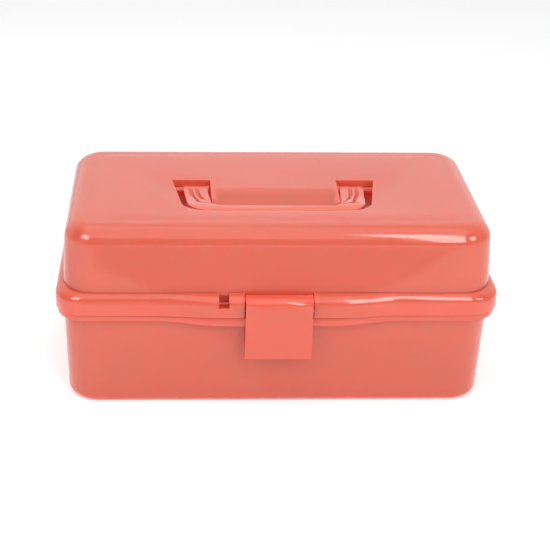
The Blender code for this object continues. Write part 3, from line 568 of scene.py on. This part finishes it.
def scoop_height(x, y):
    """The lid's top with a ramp sunk in it, for fingers: rounded where it starts, then an even slope."""
    across = ease(abs(x), SCOOP_OUTER_X, SCOOP_INNER_X)
    t = min(1.0, max(0.0, (SCOOP_BACK - y) / (SCOOP_BACK - SCOOP_FULL)))
    down = t * t / (2 * SCOOP_ENTRY) if t < SCOOP_ENTRY else t - SCOOP_ENTRY / 2
    return HEIGHT - SCOOP_DEPTH * across * down / (1 - SCOOP_ENTRY / 2)


def height_block(name, half_x, back, front, height, flat):
    """A closed block between a shaped face, z = height(x, y), and a flat one."""
    bm = bmesh.new()
    shaped = []
    level = []
    for j in range(SCOOP_ROWS + 1):
        y = back + (front - back) * j / SCOOP_ROWS
        xs = [half_x * (2 * i / SCOOP_COLUMNS - 1) for i in range(SCOOP_COLUMNS + 1)]
        shaped.append([bm.verts.new((x, y, height(x, y))) for x in xs])
        level.append([bm.verts.new((x, y, flat)) for x in xs])
    for grid in (shaped, level):
        for j in range(SCOOP_ROWS):
            for i in range(SCOOP_COLUMNS):
                bm.faces.new((grid[j][i], grid[j][i + 1], grid[j + 1][i + 1], grid[j + 1][i]))
    border = [(0, i) for i in range(SCOOP_COLUMNS)]
    border += [(j, SCOOP_COLUMNS) for j in range(SCOOP_ROWS)]
    border += [(SCOOP_ROWS, i) for i in range(SCOOP_COLUMNS, 0, -1)]
    border += [(j, 0) for j in range(SCOOP_ROWS, 0, -1)]
    for (j, i), (m, k) in zip(border, border[1:] + border[:1]):
        bm.faces.new((shaped[j][i], shaped[m][k], level[m][k], level[j][i]))
    return object_from_bmesh(name, bm)


def add_handle_well(lid):
    """The well for the folded handle, the island inside it and the scoop that lets fingers under the grip."""
    block = prism("well_block", well_outline(WELL_WALL), WELL_FLOOR - WELL_WALL, HEIGHT - WALL / 2)
    under = HEIGHT - WALL - PANEL_RISE
    inner_x = ISLAND_HALF_X - 0.0024 - WELL_WALL
    cut(block, height_block("hollow", inner_x, WELL_BACK + 2 * WELL_WALL, HANDLE_GRIP_BACK + 0.004,
                            lambda x, y: min(under, scoop_height(x, y) - WELL_WALL), WELL_FLOOR - 4 * PAST))
    join(lid, block)
    cavity = flared("cavity", well_outline, WELL_FLOOR, MOULDED_EDGE)
    cut(cavity, flared("island", island_outline, WELL_FLOOR - PAST, ISLAND_EDGE))
    cut(lid, cavity)
    cut(lid, height_block("scoop", SCOOP_OUTER_X, SCOOP_BACK, HANDLE_GRIP_BACK, scoop_height,
                          HEIGHT + 4 * PAST))
    for side in (-1, 1):
        start = side * (WELL_HALF_X - 0.004)
        cut(lid, rod("stub_hole", HANDLE_STUB + GAP, start, side * (WELL_HALF_X + 0.005), HANDLE_AXIS))


def add_latch_seat(lid):
    """The gap in the bead where the latch hangs, the web behind it and the cheeks that hold its pin."""
    wall = -HALF_Y + BEAD_REACH
    join(lid, rod("cheek", LATCH_CHEEK, NOTCH_RIGHT, -LATCH_SLOT_HALF + 0.002, LATCH_AXIS))
    join(lid, rod("cheek", LATCH_CHEEK, LATCH_SLOT_HALF - 0.002, PIN_RIGHT + 0.0016, LATCH_AXIS))
    cut(lid, box("slot", (-LATCH_SLOT_HALF, -HALF_Y - 0.006, BEAD_BOTTOM - 0.002),
                 (LATCH_SLOT_HALF, wall, BEAD_TOP + 0.0006)))
    cut(lid, rod("seat", LATCH_SEAT, -LATCH_SLOT_HALF, LATCH_SLOT_HALF, LATCH_AXIS, 48))
    front, back = LATCH_WEB
    join(lid, box("web", (-LATCH_WEB_HALF, front, LIP_TOP + 0.002),
                  (LATCH_WEB_HALF, back, BEAD_TOP + 0.0036)))
    for side in (-1, 1):
        add_web_end(lid, side)
    cut(lid, rod("pin_bore", PIN_BORE, NOTCH_RIGHT - PAST, PIN_RIGHT + GAP, LATCH_AXIS))
    cut(lid, box("notch", (NOTCH_LEFT, -HALF_Y - 0.006, NOTCH_BOTTOM),
                 (NOTCH_RIGHT, wall, BEAD_TOP + 0.0006)))


def add_web_end(lid, side):
    """A rib that closes the hollow bead beside the latch."""
    rim_face = -HALF_Y + RIM_INSET
    skin = -HALF_Y - BULGE + WALL / 2
    outline = [
        (skin, LIP_TOP + 0.0016),
        (rim_face - 0.0007, LIP_TOP + 0.0016),
        (rim_face - 0.0007, RIM_TOP + 0.0005),
        (LATCH_WEB[1] - 0.0003, RIM_TOP + 0.0005),
        (LATCH_WEB[1] - 0.0003, BEAD_TOP - 0.0012),
        (-0.0868, BEAD_TOP - 0.0022),
        (skin, BEAD_TOP - BEAD_SHOULDER),
    ]
    end = side * (LATCH_WEB_HALF - 0.0003)
    join(lid, prism("web_end", outline, end - side * STOP_WIDTH, end, axis="X"))


# ---------------------------------------------------------------- latch and handle

def make_latch():
    """The clip: a barrel on the pin, a flat face rolled over its top, and the catch behind it."""
    back = LATCH_FRONT + LATCH_THICKNESS
    outline = []
    for angle in quarter_steps(16):
        outline.append((
            LATCH_AXIS.x + (LATCH_FRONT - LATCH_AXIS.x) * math.sin(angle),
            LATCH_SHOULDER + (LATCH_TOP - LATCH_SHOULDER) * math.cos(angle),
        ))
    outline += [
        (LATCH_FRONT, LATCH_BOTTOM + 0.0008),
        (LATCH_FRONT + 0.0002, LATCH_BOTTOM + 0.0002),
        (LATCH_FRONT + 0.0008, LATCH_BOTTOM),
        (back, LATCH_BOTTOM),
        (back, LATCH_HOOK_BOTTOM - 0.004),
        (LATCH_HOOK_TIP, LATCH_HOOK_BOTTOM),
        (LATCH_HOOK_TIP, LATCH_HOOK_TOP),
        (back, LATCH_HOOK_TOP),
        (back, LATCH_AXIS.y - 0.006),
        (LATCH_AXIS.x, LATCH_AXIS.y - 0.002),
    ]
    latch = prism("latch_moulded", outline, -LATCH_HALF_WIDTH, LATCH_HALF_WIDTH, axis="X")
    join(latch, rod("barrel", LATCH_BARREL, -LATCH_HALF_WIDTH, LATCH_HALF_WIDTH, LATCH_AXIS, 40))
    cut(latch, rod("bore", PIN_BORE, -LATCH_HALF_WIDTH - PAST, LATCH_HALF_WIDTH + PAST, LATCH_AXIS))
    return round_edges(latch, MOULDED_EDGE)


def arm_top_height(y):
    """The handle's top face: low at the arms, rising to the grip."""
    rise = min(1.0, max(0.0, (y - HANDLE_RISE_START) / (HANDLE_RISE_END - HANDLE_RISE_START)))
    return HANDLE_ARM_TOP + (HANDLE_GRIP_TOP - HANDLE_ARM_TOP) * rise


def make_handle():
    outer = bent_outline(HANDLE_HALF_X, HANDLE_AXIS.x, HANDLE_SIDE_X, HANDLE_SIDE_Y, HANDLE_BEND_X,
                         HANDLE_FRONT)
    handle = prism("handle_moulded", outer, HANDLE_BOTTOM, HANDLE_GRIP_TOP)
    inner = opening_outline(HANDLE_INNER_X, HANDLE_INNER_SIDE_X, HANDLE_GRIP_BACK, HANDLE_INNER_BEND, 0.03)
    cut(handle, prism("opening", inner, HANDLE_BOTTOM - 0.01, HANDLE_GRIP_TOP + 0.01))
    sloped = [
        (HANDLE_AXIS.x + 0.01, HANDLE_ARM_TOP),
        (HANDLE_RISE_START, HANDLE_ARM_TOP),
        (HANDLE_RISE_END, HANDLE_GRIP_TOP + 0.00001),
        (HANDLE_AXIS.x + 0.01, HANDLE_GRIP_TOP + 0.01),
    ]
    reach = HANDLE_ARM_TOP - HANDLE_AXIS.y
    under = [
        (HANDLE_AXIS.x + 0.01, HANDLE_BOTTOM - PAST),
        (HANDLE_AXIS.x + 0.01, HANDLE_AXIS.y - reach),
        (HANDLE_RISE_START, HANDLE_AXIS.y - reach),
        (HANDLE_RISE_END, HANDLE_BOTTOM - PAST),
    ]
    for outline in (sloped, under):
        cut(handle, prism("arm_face", outline, -HANDLE_HALF_X - 0.01, HANDLE_HALF_X + 0.01, axis="X"))
    for side in (-1, 1):
        root = side * (HANDLE_HALF_X - 0.002)
        join(handle, rod("eye", reach, side * HANDLE_HUB_END, side * HANDLE_HALF_X, HANDLE_AXIS, 48))
        join(handle, rod("stub", HANDLE_STUB, root, side * HANDLE_STUB_END, HANDLE_AXIS))
    round_edges(handle, 0.0005, 3, 50)
    for side in (-1, 1):
        for inset, end in zip(GROOVE_INSETS, GROOVE_ENDS):
            cut(handle, make_groove(side, inset, end))
    return handle


def make_groove(side, inset, end, steps=16):
    """A round-bottomed slot that follows an arm's outer edge and fades out towards the grip."""
    loops = []
    half = GROOVE_WIDTH / 2
    lean = (HANDLE_HALF_X - HANDLE_SIDE_X) / (HANDLE_AXIS.x - HANDLE_SIDE_Y)
    for i in range(steps + 1):
        y = GROOVE_START + (end - GROOVE_START) * i / steps
        x = HANDLE_HALF_X - inset - lean * (HANDLE_AXIS.x - y) - 0.003 * ease(y, -0.008, HANDLE_SIDE_Y)
        fade = min(1.0, 4 * i / steps, 3 * (steps - i) / steps) ** 0.5
        depth = GROOVE_DEPTH * fade + 0.00002
        loop = []
        for k in range(9):
            across = math.pi * k / 8
            loop.append((side * (x - half * math.cos(across)), y, arm_top_height(y) + 0.0002
                         - (depth + 0.0002) * math.sin(across)))
        loop.append((side * (x + half), y, HANDLE_GRIP_TOP + 0.003))
        loop.append((side * (x - half), y, HANDLE_GRIP_TOP + 0.003))
        loops.append(loop)
    return loft("groove", loops)


# ---------------------------------------------------------------- trays and links

def make_tray(name, back, z, places):
    """An open tray with a small chamfered foot and the rivet bores in its two ends."""
    middle = (back + TRAY_FRONT) / 2
    half_y = (back - TRAY_FRONT) / 2
    top = z + TRAY_HEIGHT
    profile = soften([
        ((TRAY_FOOT + 0.002, z, 0, 0), 0),
        ((TRAY_FOOT, z, 0, 0), 0.0004),
        ((TRAY_FOOT / 3, z + TRAY_FOOT / 3, 0, 0), 0.0012),
        ((0.0, z + TRAY_FOOT, 0, 0), 0.001),
        ((0.0, top, 0, 0), 0.0006),
        ((TRAY_WALL, top, 0, 0), 0.0006),
        ((TRAY_WALL, z + TRAY_FOOT + 0.0006, 0, 0), 0.0015),
        ((TRAY_FOOT + 0.0006, z + TRAY_WALL, 0, 0), 0.0015),
        ((TRAY_FOOT + 0.006, z + TRAY_WALL, 0, 0), 0),
    ])
    loops = []
    for inset, level, _, _ in profile:
        corner = TRAY_CORNER - inset
        loops.append(rounded_loop(TRAY_HALF_X - inset, half_y - inset, level, corner, 0.0, 0.0, middle))
    tray = loft(name, loops)
    for place in places:
        for side in (-1, 1):
            start, end = side * (TRAY_HALF_X - 0.004), side * (TRAY_HALF_X + 0.002)
            cut(tray, rod("bore", RIVET_BORE, start, end, place))
    return tray


def make_plate(name, across, place, start, end, z):
    """A loose partition with eased edges. It stands across X or Y at place and runs from start to end."""
    low, high = z + TRAY_WALL + GAP, z + DIVIDER_HEIGHT
    outline = [
        (start + DIVIDER_TOE, low),
        (end - DIVIDER_TOE, low),
        (end, low + DIVIDER_TOE),
        (end, high),
        (start, high),
        (start, low + DIVIDER_TOE),
    ]
    plate = prism(name, outline, -DIVIDER / 2, DIVIDER / 2, axis="X")
    if across == "Y":
        plate.data.transform(Matrix.Rotation(-math.pi / 2, 4, "Z"))
    plate.data.transform(Matrix.Translation((place, 0, 0) if across == "X" else (0, place, 0)))
    return round_edges(plate, MOULDED_EDGE)


def plate_plan(word, back, split, front_bays, back_bays):
    """Each plate of a tray: its name, the axis it stands across, where, and where it starts and ends."""
    inside = TRAY_WALL + GAP
    reach = TRAY_HALF_X - inside
    plan = [(word + "_long_divider", "Y", split, -reach, reach)]
    near, far = split - DIVIDER / 2 - GAP, split + DIVIDER / 2 + GAP
    rows = (("front", front_bays, TRAY_FRONT + inside, near), ("back", back_bays, far, back - inside))
    for row, bays, start, end in rows:
        for i in range(1, bays):
            x = -TRAY_HALF_X + 2 * TRAY_HALF_X * i / bays
            plan.append((f"{word}_{row}_divider_{i}", "X", x, start, end))
    return plan


def make_front_arm(name, side):
    """The bent arm from the base to both trays, with its base pivot's head sunk in."""
    near = side * LINK_X
    far = side * (LINK_X + LINK_THICKNESS)
    places = (ARM_AXIS, LOWER_ARM_PIVOT, UPPER_ARM_PIVOT)
    arm = prism(name, hull_outline(places[:2], LINK_RADIUS), near, far, axis="X")
    join(arm, prism("leg", hull_outline(places[1:], LINK_RADIUS), near, far, axis="X"))
    for place in places:
        cut(arm, rod("bore", RIVET_BORE, near - side * PAST, far + side * PAST, place))
    sunk = near + side * (RIVET_HEAD_THICKNESS + GAP)
    cut(arm, rod("sink", RIVET_HEAD + GAP, near - side * PAST, sunk, ARM_AXIS))
    return round_edges(arm, MOULDED_EDGE)


def make_lid_bracket(name, side):
    """The bracket screwed to the lid's end wall, with a pivot for each tray."""
    near = side * LINK_X
    far = side * (LINK_X + LINK_THICKNESS)
    places = (LOWER_LID_PIVOT, *BRACKET_SCREWS, UPPER_LID_PIVOT)
    bracket = prism(name, hull_outline(places[:2], LINK_RADIUS), near, far, axis="X")
    for pair in (places[1:3], places[2:]):
        join(bracket, prism("leg", hull_outline(pair, LINK_RADIUS), near, far, axis="X"))
    for place in (LOWER_LID_PIVOT, UPPER_LID_PIVOT):
        cut(bracket, rod("bore", RIVET_BORE, near - side * PAST, far + side * PAST, place))
    for place in BRACKET_SCREWS:
        cut(bracket, rod("bore", SCREW_BORE, near - side * PAST, far + side * PAST, place))
    return round_edges(bracket, MOULDED_EDGE)


def domed(radius, start, thickness, steps=6):
    """Profile of a rivet's head from its rim at start to its crown, thickness further out."""
    points = []
    for angle in quarter_steps(steps):
        points.append((radius * math.cos(angle) ** 0.7, start + thickness * math.sin(angle)))
    points[-1] = (0.0, start + thickness)
    return points


def make_tray_rivet(name, place, side):
    """A rivet through a tray's end and a link, with a domed head on each."""
    inner = TRAY_HALF_X - TRAY_WALL - GAP
    outer = LINK_X + LINK_THICKNESS + GAP
    crown = domed(RIVET_HEAD, outer, RIVET_HEAD_THICKNESS)
    foot = list(reversed(domed(RIVET_HEAD, inner, -RIVET_HEAD_THICKNESS)))
    return turned(name, foot + [(RIVET_RADIUS, inner), (RIVET_RADIUS, outer)] + crown, place, side)


def make_arm_pin(name, side):
    """The pin a front arm turns on, its head flush with the arm."""
    start = LINK_X + 0.0001
    end = HALF_X - BASE_WALL_INSET - WALL / 2 - 0.0011
    rim = start + RIVET_HEAD_THICKNESS
    profile = [
        (0.0, start),
        (RIVET_HEAD - TURNED_EDGE, start),
        (RIVET_HEAD, start + TURNED_EDGE),
        (RIVET_HEAD, rim),
        (RIVET_RADIUS, rim),
        (RIVET_RADIUS, end - TURNED_EDGE),
        (RIVET_RADIUS - TURNED_EDGE, end),
        (0.0, end),
    ]
    return turned(name, profile, ARM_AXIS, side)


def make_bracket_screw(name, place, side):
    """A pan-head screw with a cross recess."""
    seat = LINK_X - GAP
    end = HALF_X - lid_wall_inset(place.y) - WALL / 2 - 0.0009
    head = list(reversed(domed(SCREW_HEAD, seat, -SCREW_HEAD_THICKNESS)))
    shank = [
        (SCREW_RADIUS, seat),
        (SCREW_RADIUS, end - TURNED_EDGE),
        (SCREW_RADIUS - TURNED_EDGE, end),
        (0.0, end),
    ]
    screw = turned(name, head + shank, place, side)
    front = side * (seat - SCREW_HEAD_THICKNESS)
    near, far = sorted((front - side * PAST, front + side * RECESS_DEPTH))
    for wide, tall in ((RECESS_LENGTH, RECESS_WIDTH), (RECESS_WIDTH, RECESS_LENGTH)):
        low = (near, place.x - wide, place.y - tall)
        high = (far, place.x + wide, place.y + tall)
        cut(screw, box("recess", low, high))
    return screw


# ---------------------------------------------------------------- materials

PLASTIC_IOR = 1.54
# Reach and colour of the painted light that the coral plastic emits into its gaps and creases.
PAINTED_GLOW_REACH = 0.006
PAINTED_GLOW_COLOUR = (1.0, 0.025, 0.025, 1.0)


def node(tree, kind, **inputs):
    made = tree.nodes.new(kind)
    for key, value in inputs.items():
        made.inputs[key.replace("_", " ")].default_value = value
    return made


def noise(tree, coords, scale, detail=3.0, stretch=None):
    made = node(tree, "ShaderNodeTexNoise", Scale=scale, Detail=detail)
    source = coords
    if stretch:
        mapping = tree.nodes.new("ShaderNodeMapping")
        mapping.inputs["Scale"].default_value = stretch
        tree.links.new(coords, mapping.inputs["Vector"])
        source = mapping.outputs["Vector"]
    tree.links.new(source, made.inputs["Vector"])
    return made.outputs["Fac"]


def spread(tree, value, low, high, from_low=0.3, from_high=0.7):
    """Maps a value from one range to another and holds it there. Noise mostly lies between 0.3 and 0.7."""
    made = tree.nodes.new("ShaderNodeMapRange")
    made.inputs["From Min"].default_value = from_low
    made.inputs["From Max"].default_value = from_high
    made.inputs["To Min"].default_value = low
    made.inputs["To Max"].default_value = high
    tree.links.new(value, made.inputs["Value"])
    return made.outputs["Result"]


def blend_colours(tree, factor, first, second):
    made = tree.nodes.new("ShaderNodeMix")
    made.data_type = "RGBA"
    colours = {"A": first, "B": second}
    for socket in made.inputs:
        if socket.type == "RGBA":
            socket.default_value = (*colours[socket.name], 1.0)
    tree.links.new(factor, made.inputs["Factor"])
    return next(socket for socket in made.outputs if socket.type == "RGBA")


def start_material(name):
    material = bpy.data.materials.new(name)
    material.use_nodes = True
    tree = material.node_tree
    shader = tree.nodes["Principled BSDF"]
    coords = tree.nodes.new("ShaderNodeTexCoord").outputs["Object"]
    return material, tree, shader, coords


def bumped(tree, shader, heights):
    """Chains bump nodes: each height is (value, strength, distance in metres)."""
    previous = None
    for value, strength, distance in heights:
        bump = node(tree, "ShaderNodeBump", Strength=strength, Distance=distance)
        tree.links.new(value, bump.inputs["Height"])
        if previous:
            tree.links.new(previous, bump.inputs["Normal"])
        previous = bump.outputs["Normal"]
    tree.links.new(previous, shader.inputs["Normal"])


def moulded_plastic(name, light, dark, rough, subsurface, radius, ripple, painted_glow):
    """Injection-moulded plastic: slow colour drift, faint flow ripples, fine skin and light handling marks.
    The plastic's emission is painted light, not light that comes through the thin walls: red light painted
    into gaps and creases where walls face each other closely."""
    material, tree, shader, coords = start_material(name)
    drift = noise(tree, coords, 9.0, 2.0)
    skin = noise(tree, coords, 2400.0, 2.0)
    flow = noise(tree, coords, 22.0, 2.0, (1.0, 1.6, 2.2))
    marks = noise(tree, coords, 60.0, 6.0, (1.0, 5.0, 1.0))
    colour = blend_colours(tree, spread(tree, drift, 0.0, 1.0), light, dark)
    tree.links.new(colour, shader.inputs["Base Color"])
    marked = spread(tree, marks, rough, rough + 0.07, 0.45, 0.75)
    tree.links.new(marked, shader.inputs["Roughness"])
    shader.inputs["IOR"].default_value = PLASTIC_IOR
    shader.inputs["Subsurface Weight"].default_value = subsurface
    shader.inputs["Subsurface Radius"].default_value = radius
    shader.inputs["Subsurface Scale"].default_value = 1.0
    # Painted light: where the ambient occlusion node finds walls close by, the plastic emits red light into
    # gaps and creases.
    if painted_glow:
        enclosed = node(tree, "ShaderNodeAmbientOcclusion", Distance=PAINTED_GLOW_REACH)
        enclosed.samples = 8
        share = spread(tree, enclosed.outputs["AO"], painted_glow, 0.0, 0.05, 0.45)
        tree.links.new(share, shader.inputs["Emission Strength"])
        shader.inputs["Emission Color"].default_value = PAINTED_GLOW_COLOUR
    bumped(tree, shader, [(flow, ripple, 0.0004), (skin, 0.05, 0.00003)])
    return material


def drawn_steel(name, colour, rough):
    """Bright steel with fine draw lines along X and a little dulling."""
    material, tree, shader, coords = start_material(name)
    lines = noise(tree, coords, 900.0, 3.0, (0.05, 1.0, 1.0))
    dull = noise(tree, coords, 140.0, 4.0)
    darker = tuple(0.75 * part for part in colour)
    shade = blend_colours(tree, spread(tree, lines, 0.0, 1.0), colour, darker)
    tree.links.new(shade, shader.inputs["Base Color"])
    tree.links.new(spread(tree, dull, rough - 0.06, rough + 0.1), shader.inputs["Roughness"])
    shader.inputs["Metallic"].default_value = 1.0
    bumped(tree, shader, [(lines, 0.12, 0.00004)])
    return material


# ---------------------------------------------------------------- assembly

SHARP_ANGLE = math.radians(34)


def finish_piece(piece, material, body, replaced):
    """Gives a piece its material and shading and the body it rides on, and hides the CAD node it stands for.
    """
    piece.data.materials.clear()
    piece.data.materials.append(material)
    piece.data.shade_smooth()
    piece.data.set_sharp_from_angle(angle=SHARP_ANGLE)
    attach(piece, body)
    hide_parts(replaced)


CORAL = moulded_plastic(
    "coral_plastic_gloss",
    light=(0.610, 0.106, 0.064),
    dark=(0.588, 0.100, 0.060),
    rough=0.07,
    subsurface=0.80,
    radius=(0.010, 0.0018, 0.0012),
    ripple=0.04,
    # Strength of the painted red light emitted in gaps and creases.
    painted_glow=0.28,
)
FROST = moulded_plastic(
    "frosted_plastic_satin",
    light=(0.84, 0.85, 0.85),
    dark=(0.80, 0.81, 0.82),
    rough=0.32,
    subsurface=0.25,
    radius=(0.004, 0.004, 0.004),
    ripple=0.06,
    painted_glow=0.0,
)
STEEL = drawn_steel("bright_steel", (0.66, 0.66, 0.68), 0.28)

MOULDINGS = (
    (make_base, "base", "base_tub"),
    (make_lid, "lid", "lid_shell"),
    (make_latch, "latch", "latch"),
    (make_handle, "handle", "handle"),
)
for make, body, replaced in MOULDINGS:
    finish_piece(make(), CORAL, body, replaced)
TRAYS = {
    "upper": (UPPER_TRAY, (UPPER_LID_PIVOT, UPPER_ARM_PIVOT)),
    "lower": (LOWER_TRAY, (LOWER_LID_PIVOT, LOWER_ARM_PIVOT)),
}
for level, (plan, pivots) in TRAYS.items():
    tray = make_tray(level + "_tray_moulded", plan["back"], plan["z"], pivots)
    finish_piece(tray, FROST, level + "_tray", level + "_tray")
    rows = {key: value for key, value in plan.items() if key != "z"}
    for name, across, place, start, end in plate_plan(level, **rows):
        plate = make_plate(name + "_cut", across, place, start, end, plan["z"])
        finish_piece(plate, FROST, level + "_tray", name)
pin = rod("latch_pin_moulded", PIN_RADIUS, PIN_LEFT, PIN_RIGHT, LATCH_AXIS, edge=TURNED_EDGE)
finish_piece(pin, CORAL, "lid", "latch_pin")
for side, word in ((-1, "left"), (1, "right")):
    hinge_pin = rod("hinge_pin_drawn_" + word, PIN_RADIUS, side * HINGE_X - 1.5 * KNUCKLE,
                    side * HINGE_X + 1.5 * KNUCKLE, HINGE_AXIS, edge=TURNED_EDGE)
    finish_piece(hinge_pin, STEEL, "base", "hinge_pin_" + word)
    arm = make_front_arm("front_arm_moulded_" + word, side)
    finish_piece(arm, FROST, "arm_" + word, "front_arm_" + word)
    bracket = make_lid_bracket("lid_bracket_moulded_" + word, side)
    finish_piece(bracket, FROST, "lid", "lid_bracket_" + word)
    arm_pin = make_arm_pin("arm_base_pin_turned_" + word, side)
    finish_piece(arm_pin, FROST, "base", "arm_base_pin_" + word)
    rivets = (
        ("lower_arm_rivet_", LOWER_ARM_PIVOT, "arm_" + word),
        ("upper_arm_rivet_", UPPER_ARM_PIVOT, "arm_" + word),
        ("lower_bracket_rivet_", LOWER_LID_PIVOT, "lid"),
        ("upper_bracket_rivet_", UPPER_LID_PIVOT, "lid"),
    )
    for stem, place, body in rivets:
        rivet = make_tray_rivet(stem + "turned_" + word, place, side)
        finish_piece(rivet, FROST, body, stem + word)
    for i, place in enumerate(BRACKET_SCREWS):
        screw = make_bracket_screw(f"bracket_screw_{i + 1}_cut_{word}", place, side)
        finish_piece(screw, STEEL, "lid", f"bracket_screw_{i + 1}_{word}")


# ---------------------------------------------------------------- studio

FLOOR_SIZE = 30.0
FLOOR_GLOW = 0.17
CARD_CORNERS = ((-0.34, -0.75), (0.40, -0.75), (0.17, -0.38), (0.05, -0.27), (-0.05, -0.27), (-0.15, -0.38))
CARD_LOW = 0.001
CARD_HIGH = 0.002
ROOM_STRENGTH = 0.30
BACKDROP_STRENGTH = 1.15
BACKDROP_FROM = 0.05
BACKDROP_FULL = 0.50
BOX_MIDDLE = (0.0, 0.0, 0.08)

# Each light: its name, place, target, width, height and power in watts.
SOFTBOXES = (
    ("overhead_softbox", (-0.10, -0.50, 1.22), (0.0, -0.30, 0.0), 1.6, 1.6, 10.8),
    ("strip_softbox", (0.45, -1.18, 1.00), (0.08, 0.0, 0.10), 0.20, 1.20, 6.0),
    ("right_softbox", (1.00, -0.85, 0.75), BOX_MIDDLE, 0.45, 0.45, 5.0),
    ("side_softbox", (-0.80, -0.75, 0.85), BOX_MIDDLE, 0.55, 0.45, 5.0),
)

LENS = 88.11
LENS_SHIFT = 0.08
CAMERA_PLACE = (-0.07566, -0.94532, 0.53950)
CAMERA_YAW = math.radians(-2.694)
CAMERA_PITCH = math.radians(26.60)
CAMERA_ROLL = math.radians(1.19)


def studio_floor():
    """A sheet of white paper, lit a little from within so that it stays white to its edges."""
    bm = bmesh.new()
    bmesh.ops.create_grid(bm, x_segments=1, y_segments=1, size=FLOOR_SIZE)
    floor = object_from_bmesh("studio_floor", bm)
    material, tree, shader, coords = start_material("studio_paper")
    tone = noise(tree, coords, 1.5, 2.0)
    colour = blend_colours(tree, spread(tree, tone, 0.0, 1.0), (0.93, 0.93, 0.93), (0.91, 0.91, 0.91))
    tree.links.new(colour, shader.inputs["Base Color"])
    shader.inputs["Roughness"].default_value = 0.8
    shader.inputs["Specular IOR Level"].default_value = 0.2
    shader.inputs["Emission Color"].default_value = (1.0, 1.0, 1.0, 1.0)
    shader.inputs["Emission Strength"].default_value = FLOOR_GLOW
    floor.data.materials.append(material)


def softbox(name, place, target, width, height, power):
    light = bpy.data.lights.new(name, "AREA")
    light.shape = "RECTANGLE"
    light.size = width
    light.size_y = height
    light.energy = power
    lamp = bpy.data.objects.new(name, light)
    bpy.context.scene.collection.objects.link(lamp)
    lamp.location = place
    lamp.rotation_euler = (Vector(target) - Vector(place)).to_track_quat("-Z", "Y").to_euler()


def reflection_card():
    """A grey card in front of the box, seen only in its reflections."""
    card = prism("reflection_card", CARD_CORNERS, CARD_LOW, CARD_HIGH)
    material, tree, shader, coords = start_material("grey_card")
    tone = noise(tree, coords, 40.0, 2.0)
    colour = blend_colours(tree, spread(tree, tone, 0.0, 1.0), (0.56, 0.54, 0.54), (0.52, 0.50, 0.50))
    tree.links.new(colour, shader.inputs["Base Color"])
    shader.inputs["Roughness"].default_value = 0.9
    card.data.materials.append(material)
    card.visible_camera = False
    card.visible_diffuse = False
    card.visible_shadow = False


def studio_light():
    """A dim room with a bright backdrop, and the softboxes."""
    world = bpy.data.worlds.new("studio")
    bpy.context.scene.world = world
    world.use_nodes = True
    tree = world.node_tree
    background = tree.nodes["Background"]
    background.inputs["Color"].default_value = (1.0, 1.0, 1.0, 1.0)
    coords = tree.nodes.new("ShaderNodeTexCoord").outputs["Generated"]
    split = tree.nodes.new("ShaderNodeSeparateXYZ")
    tree.links.new(coords, split.inputs["Vector"])
    strength = spread(tree, split.outputs["Y"], ROOM_STRENGTH, BACKDROP_STRENGTH, BACKDROP_FROM,
                      BACKDROP_FULL)
    tree.links.new(strength, background.inputs["Strength"])
    for light in SOFTBOXES:
        softbox(*light)


def camera():
    """The camera in front of the box and a little above it, with a small lens shift."""
    data = bpy.data.cameras.new("camera")
    data.sensor_width = 36.0
    data.lens = LENS
    data.shift_x = LENS_SHIFT
    data.clip_start = 0.01
    data.clip_end = 100.0
    cam = bpy.data.objects.new("camera", data)
    bpy.context.scene.collection.objects.link(cam)
    across, ahead = math.cos(CAMERA_YAW), math.cos(CAMERA_PITCH)
    forward = Vector((-math.sin(CAMERA_YAW) * ahead, across * ahead, -math.sin(CAMERA_PITCH)))
    level = Vector((across, math.sin(CAMERA_YAW), 0.0))
    upright = level.cross(forward)
    right = level * math.cos(CAMERA_ROLL) + upright * math.sin(CAMERA_ROLL)
    up = upright * math.cos(CAMERA_ROLL) - level * math.sin(CAMERA_ROLL)
    turned_to = Matrix((right, up, -forward)).transposed().to_4x4()
    cam.matrix_world = Matrix.Translation(CAMERA_PLACE) @ turned_to
    bpy.context.scene.camera = cam


studio_floor()
reflection_card()
studio_light()
camera()
bpy.context.scene.view_settings.view_transform = "Standard"
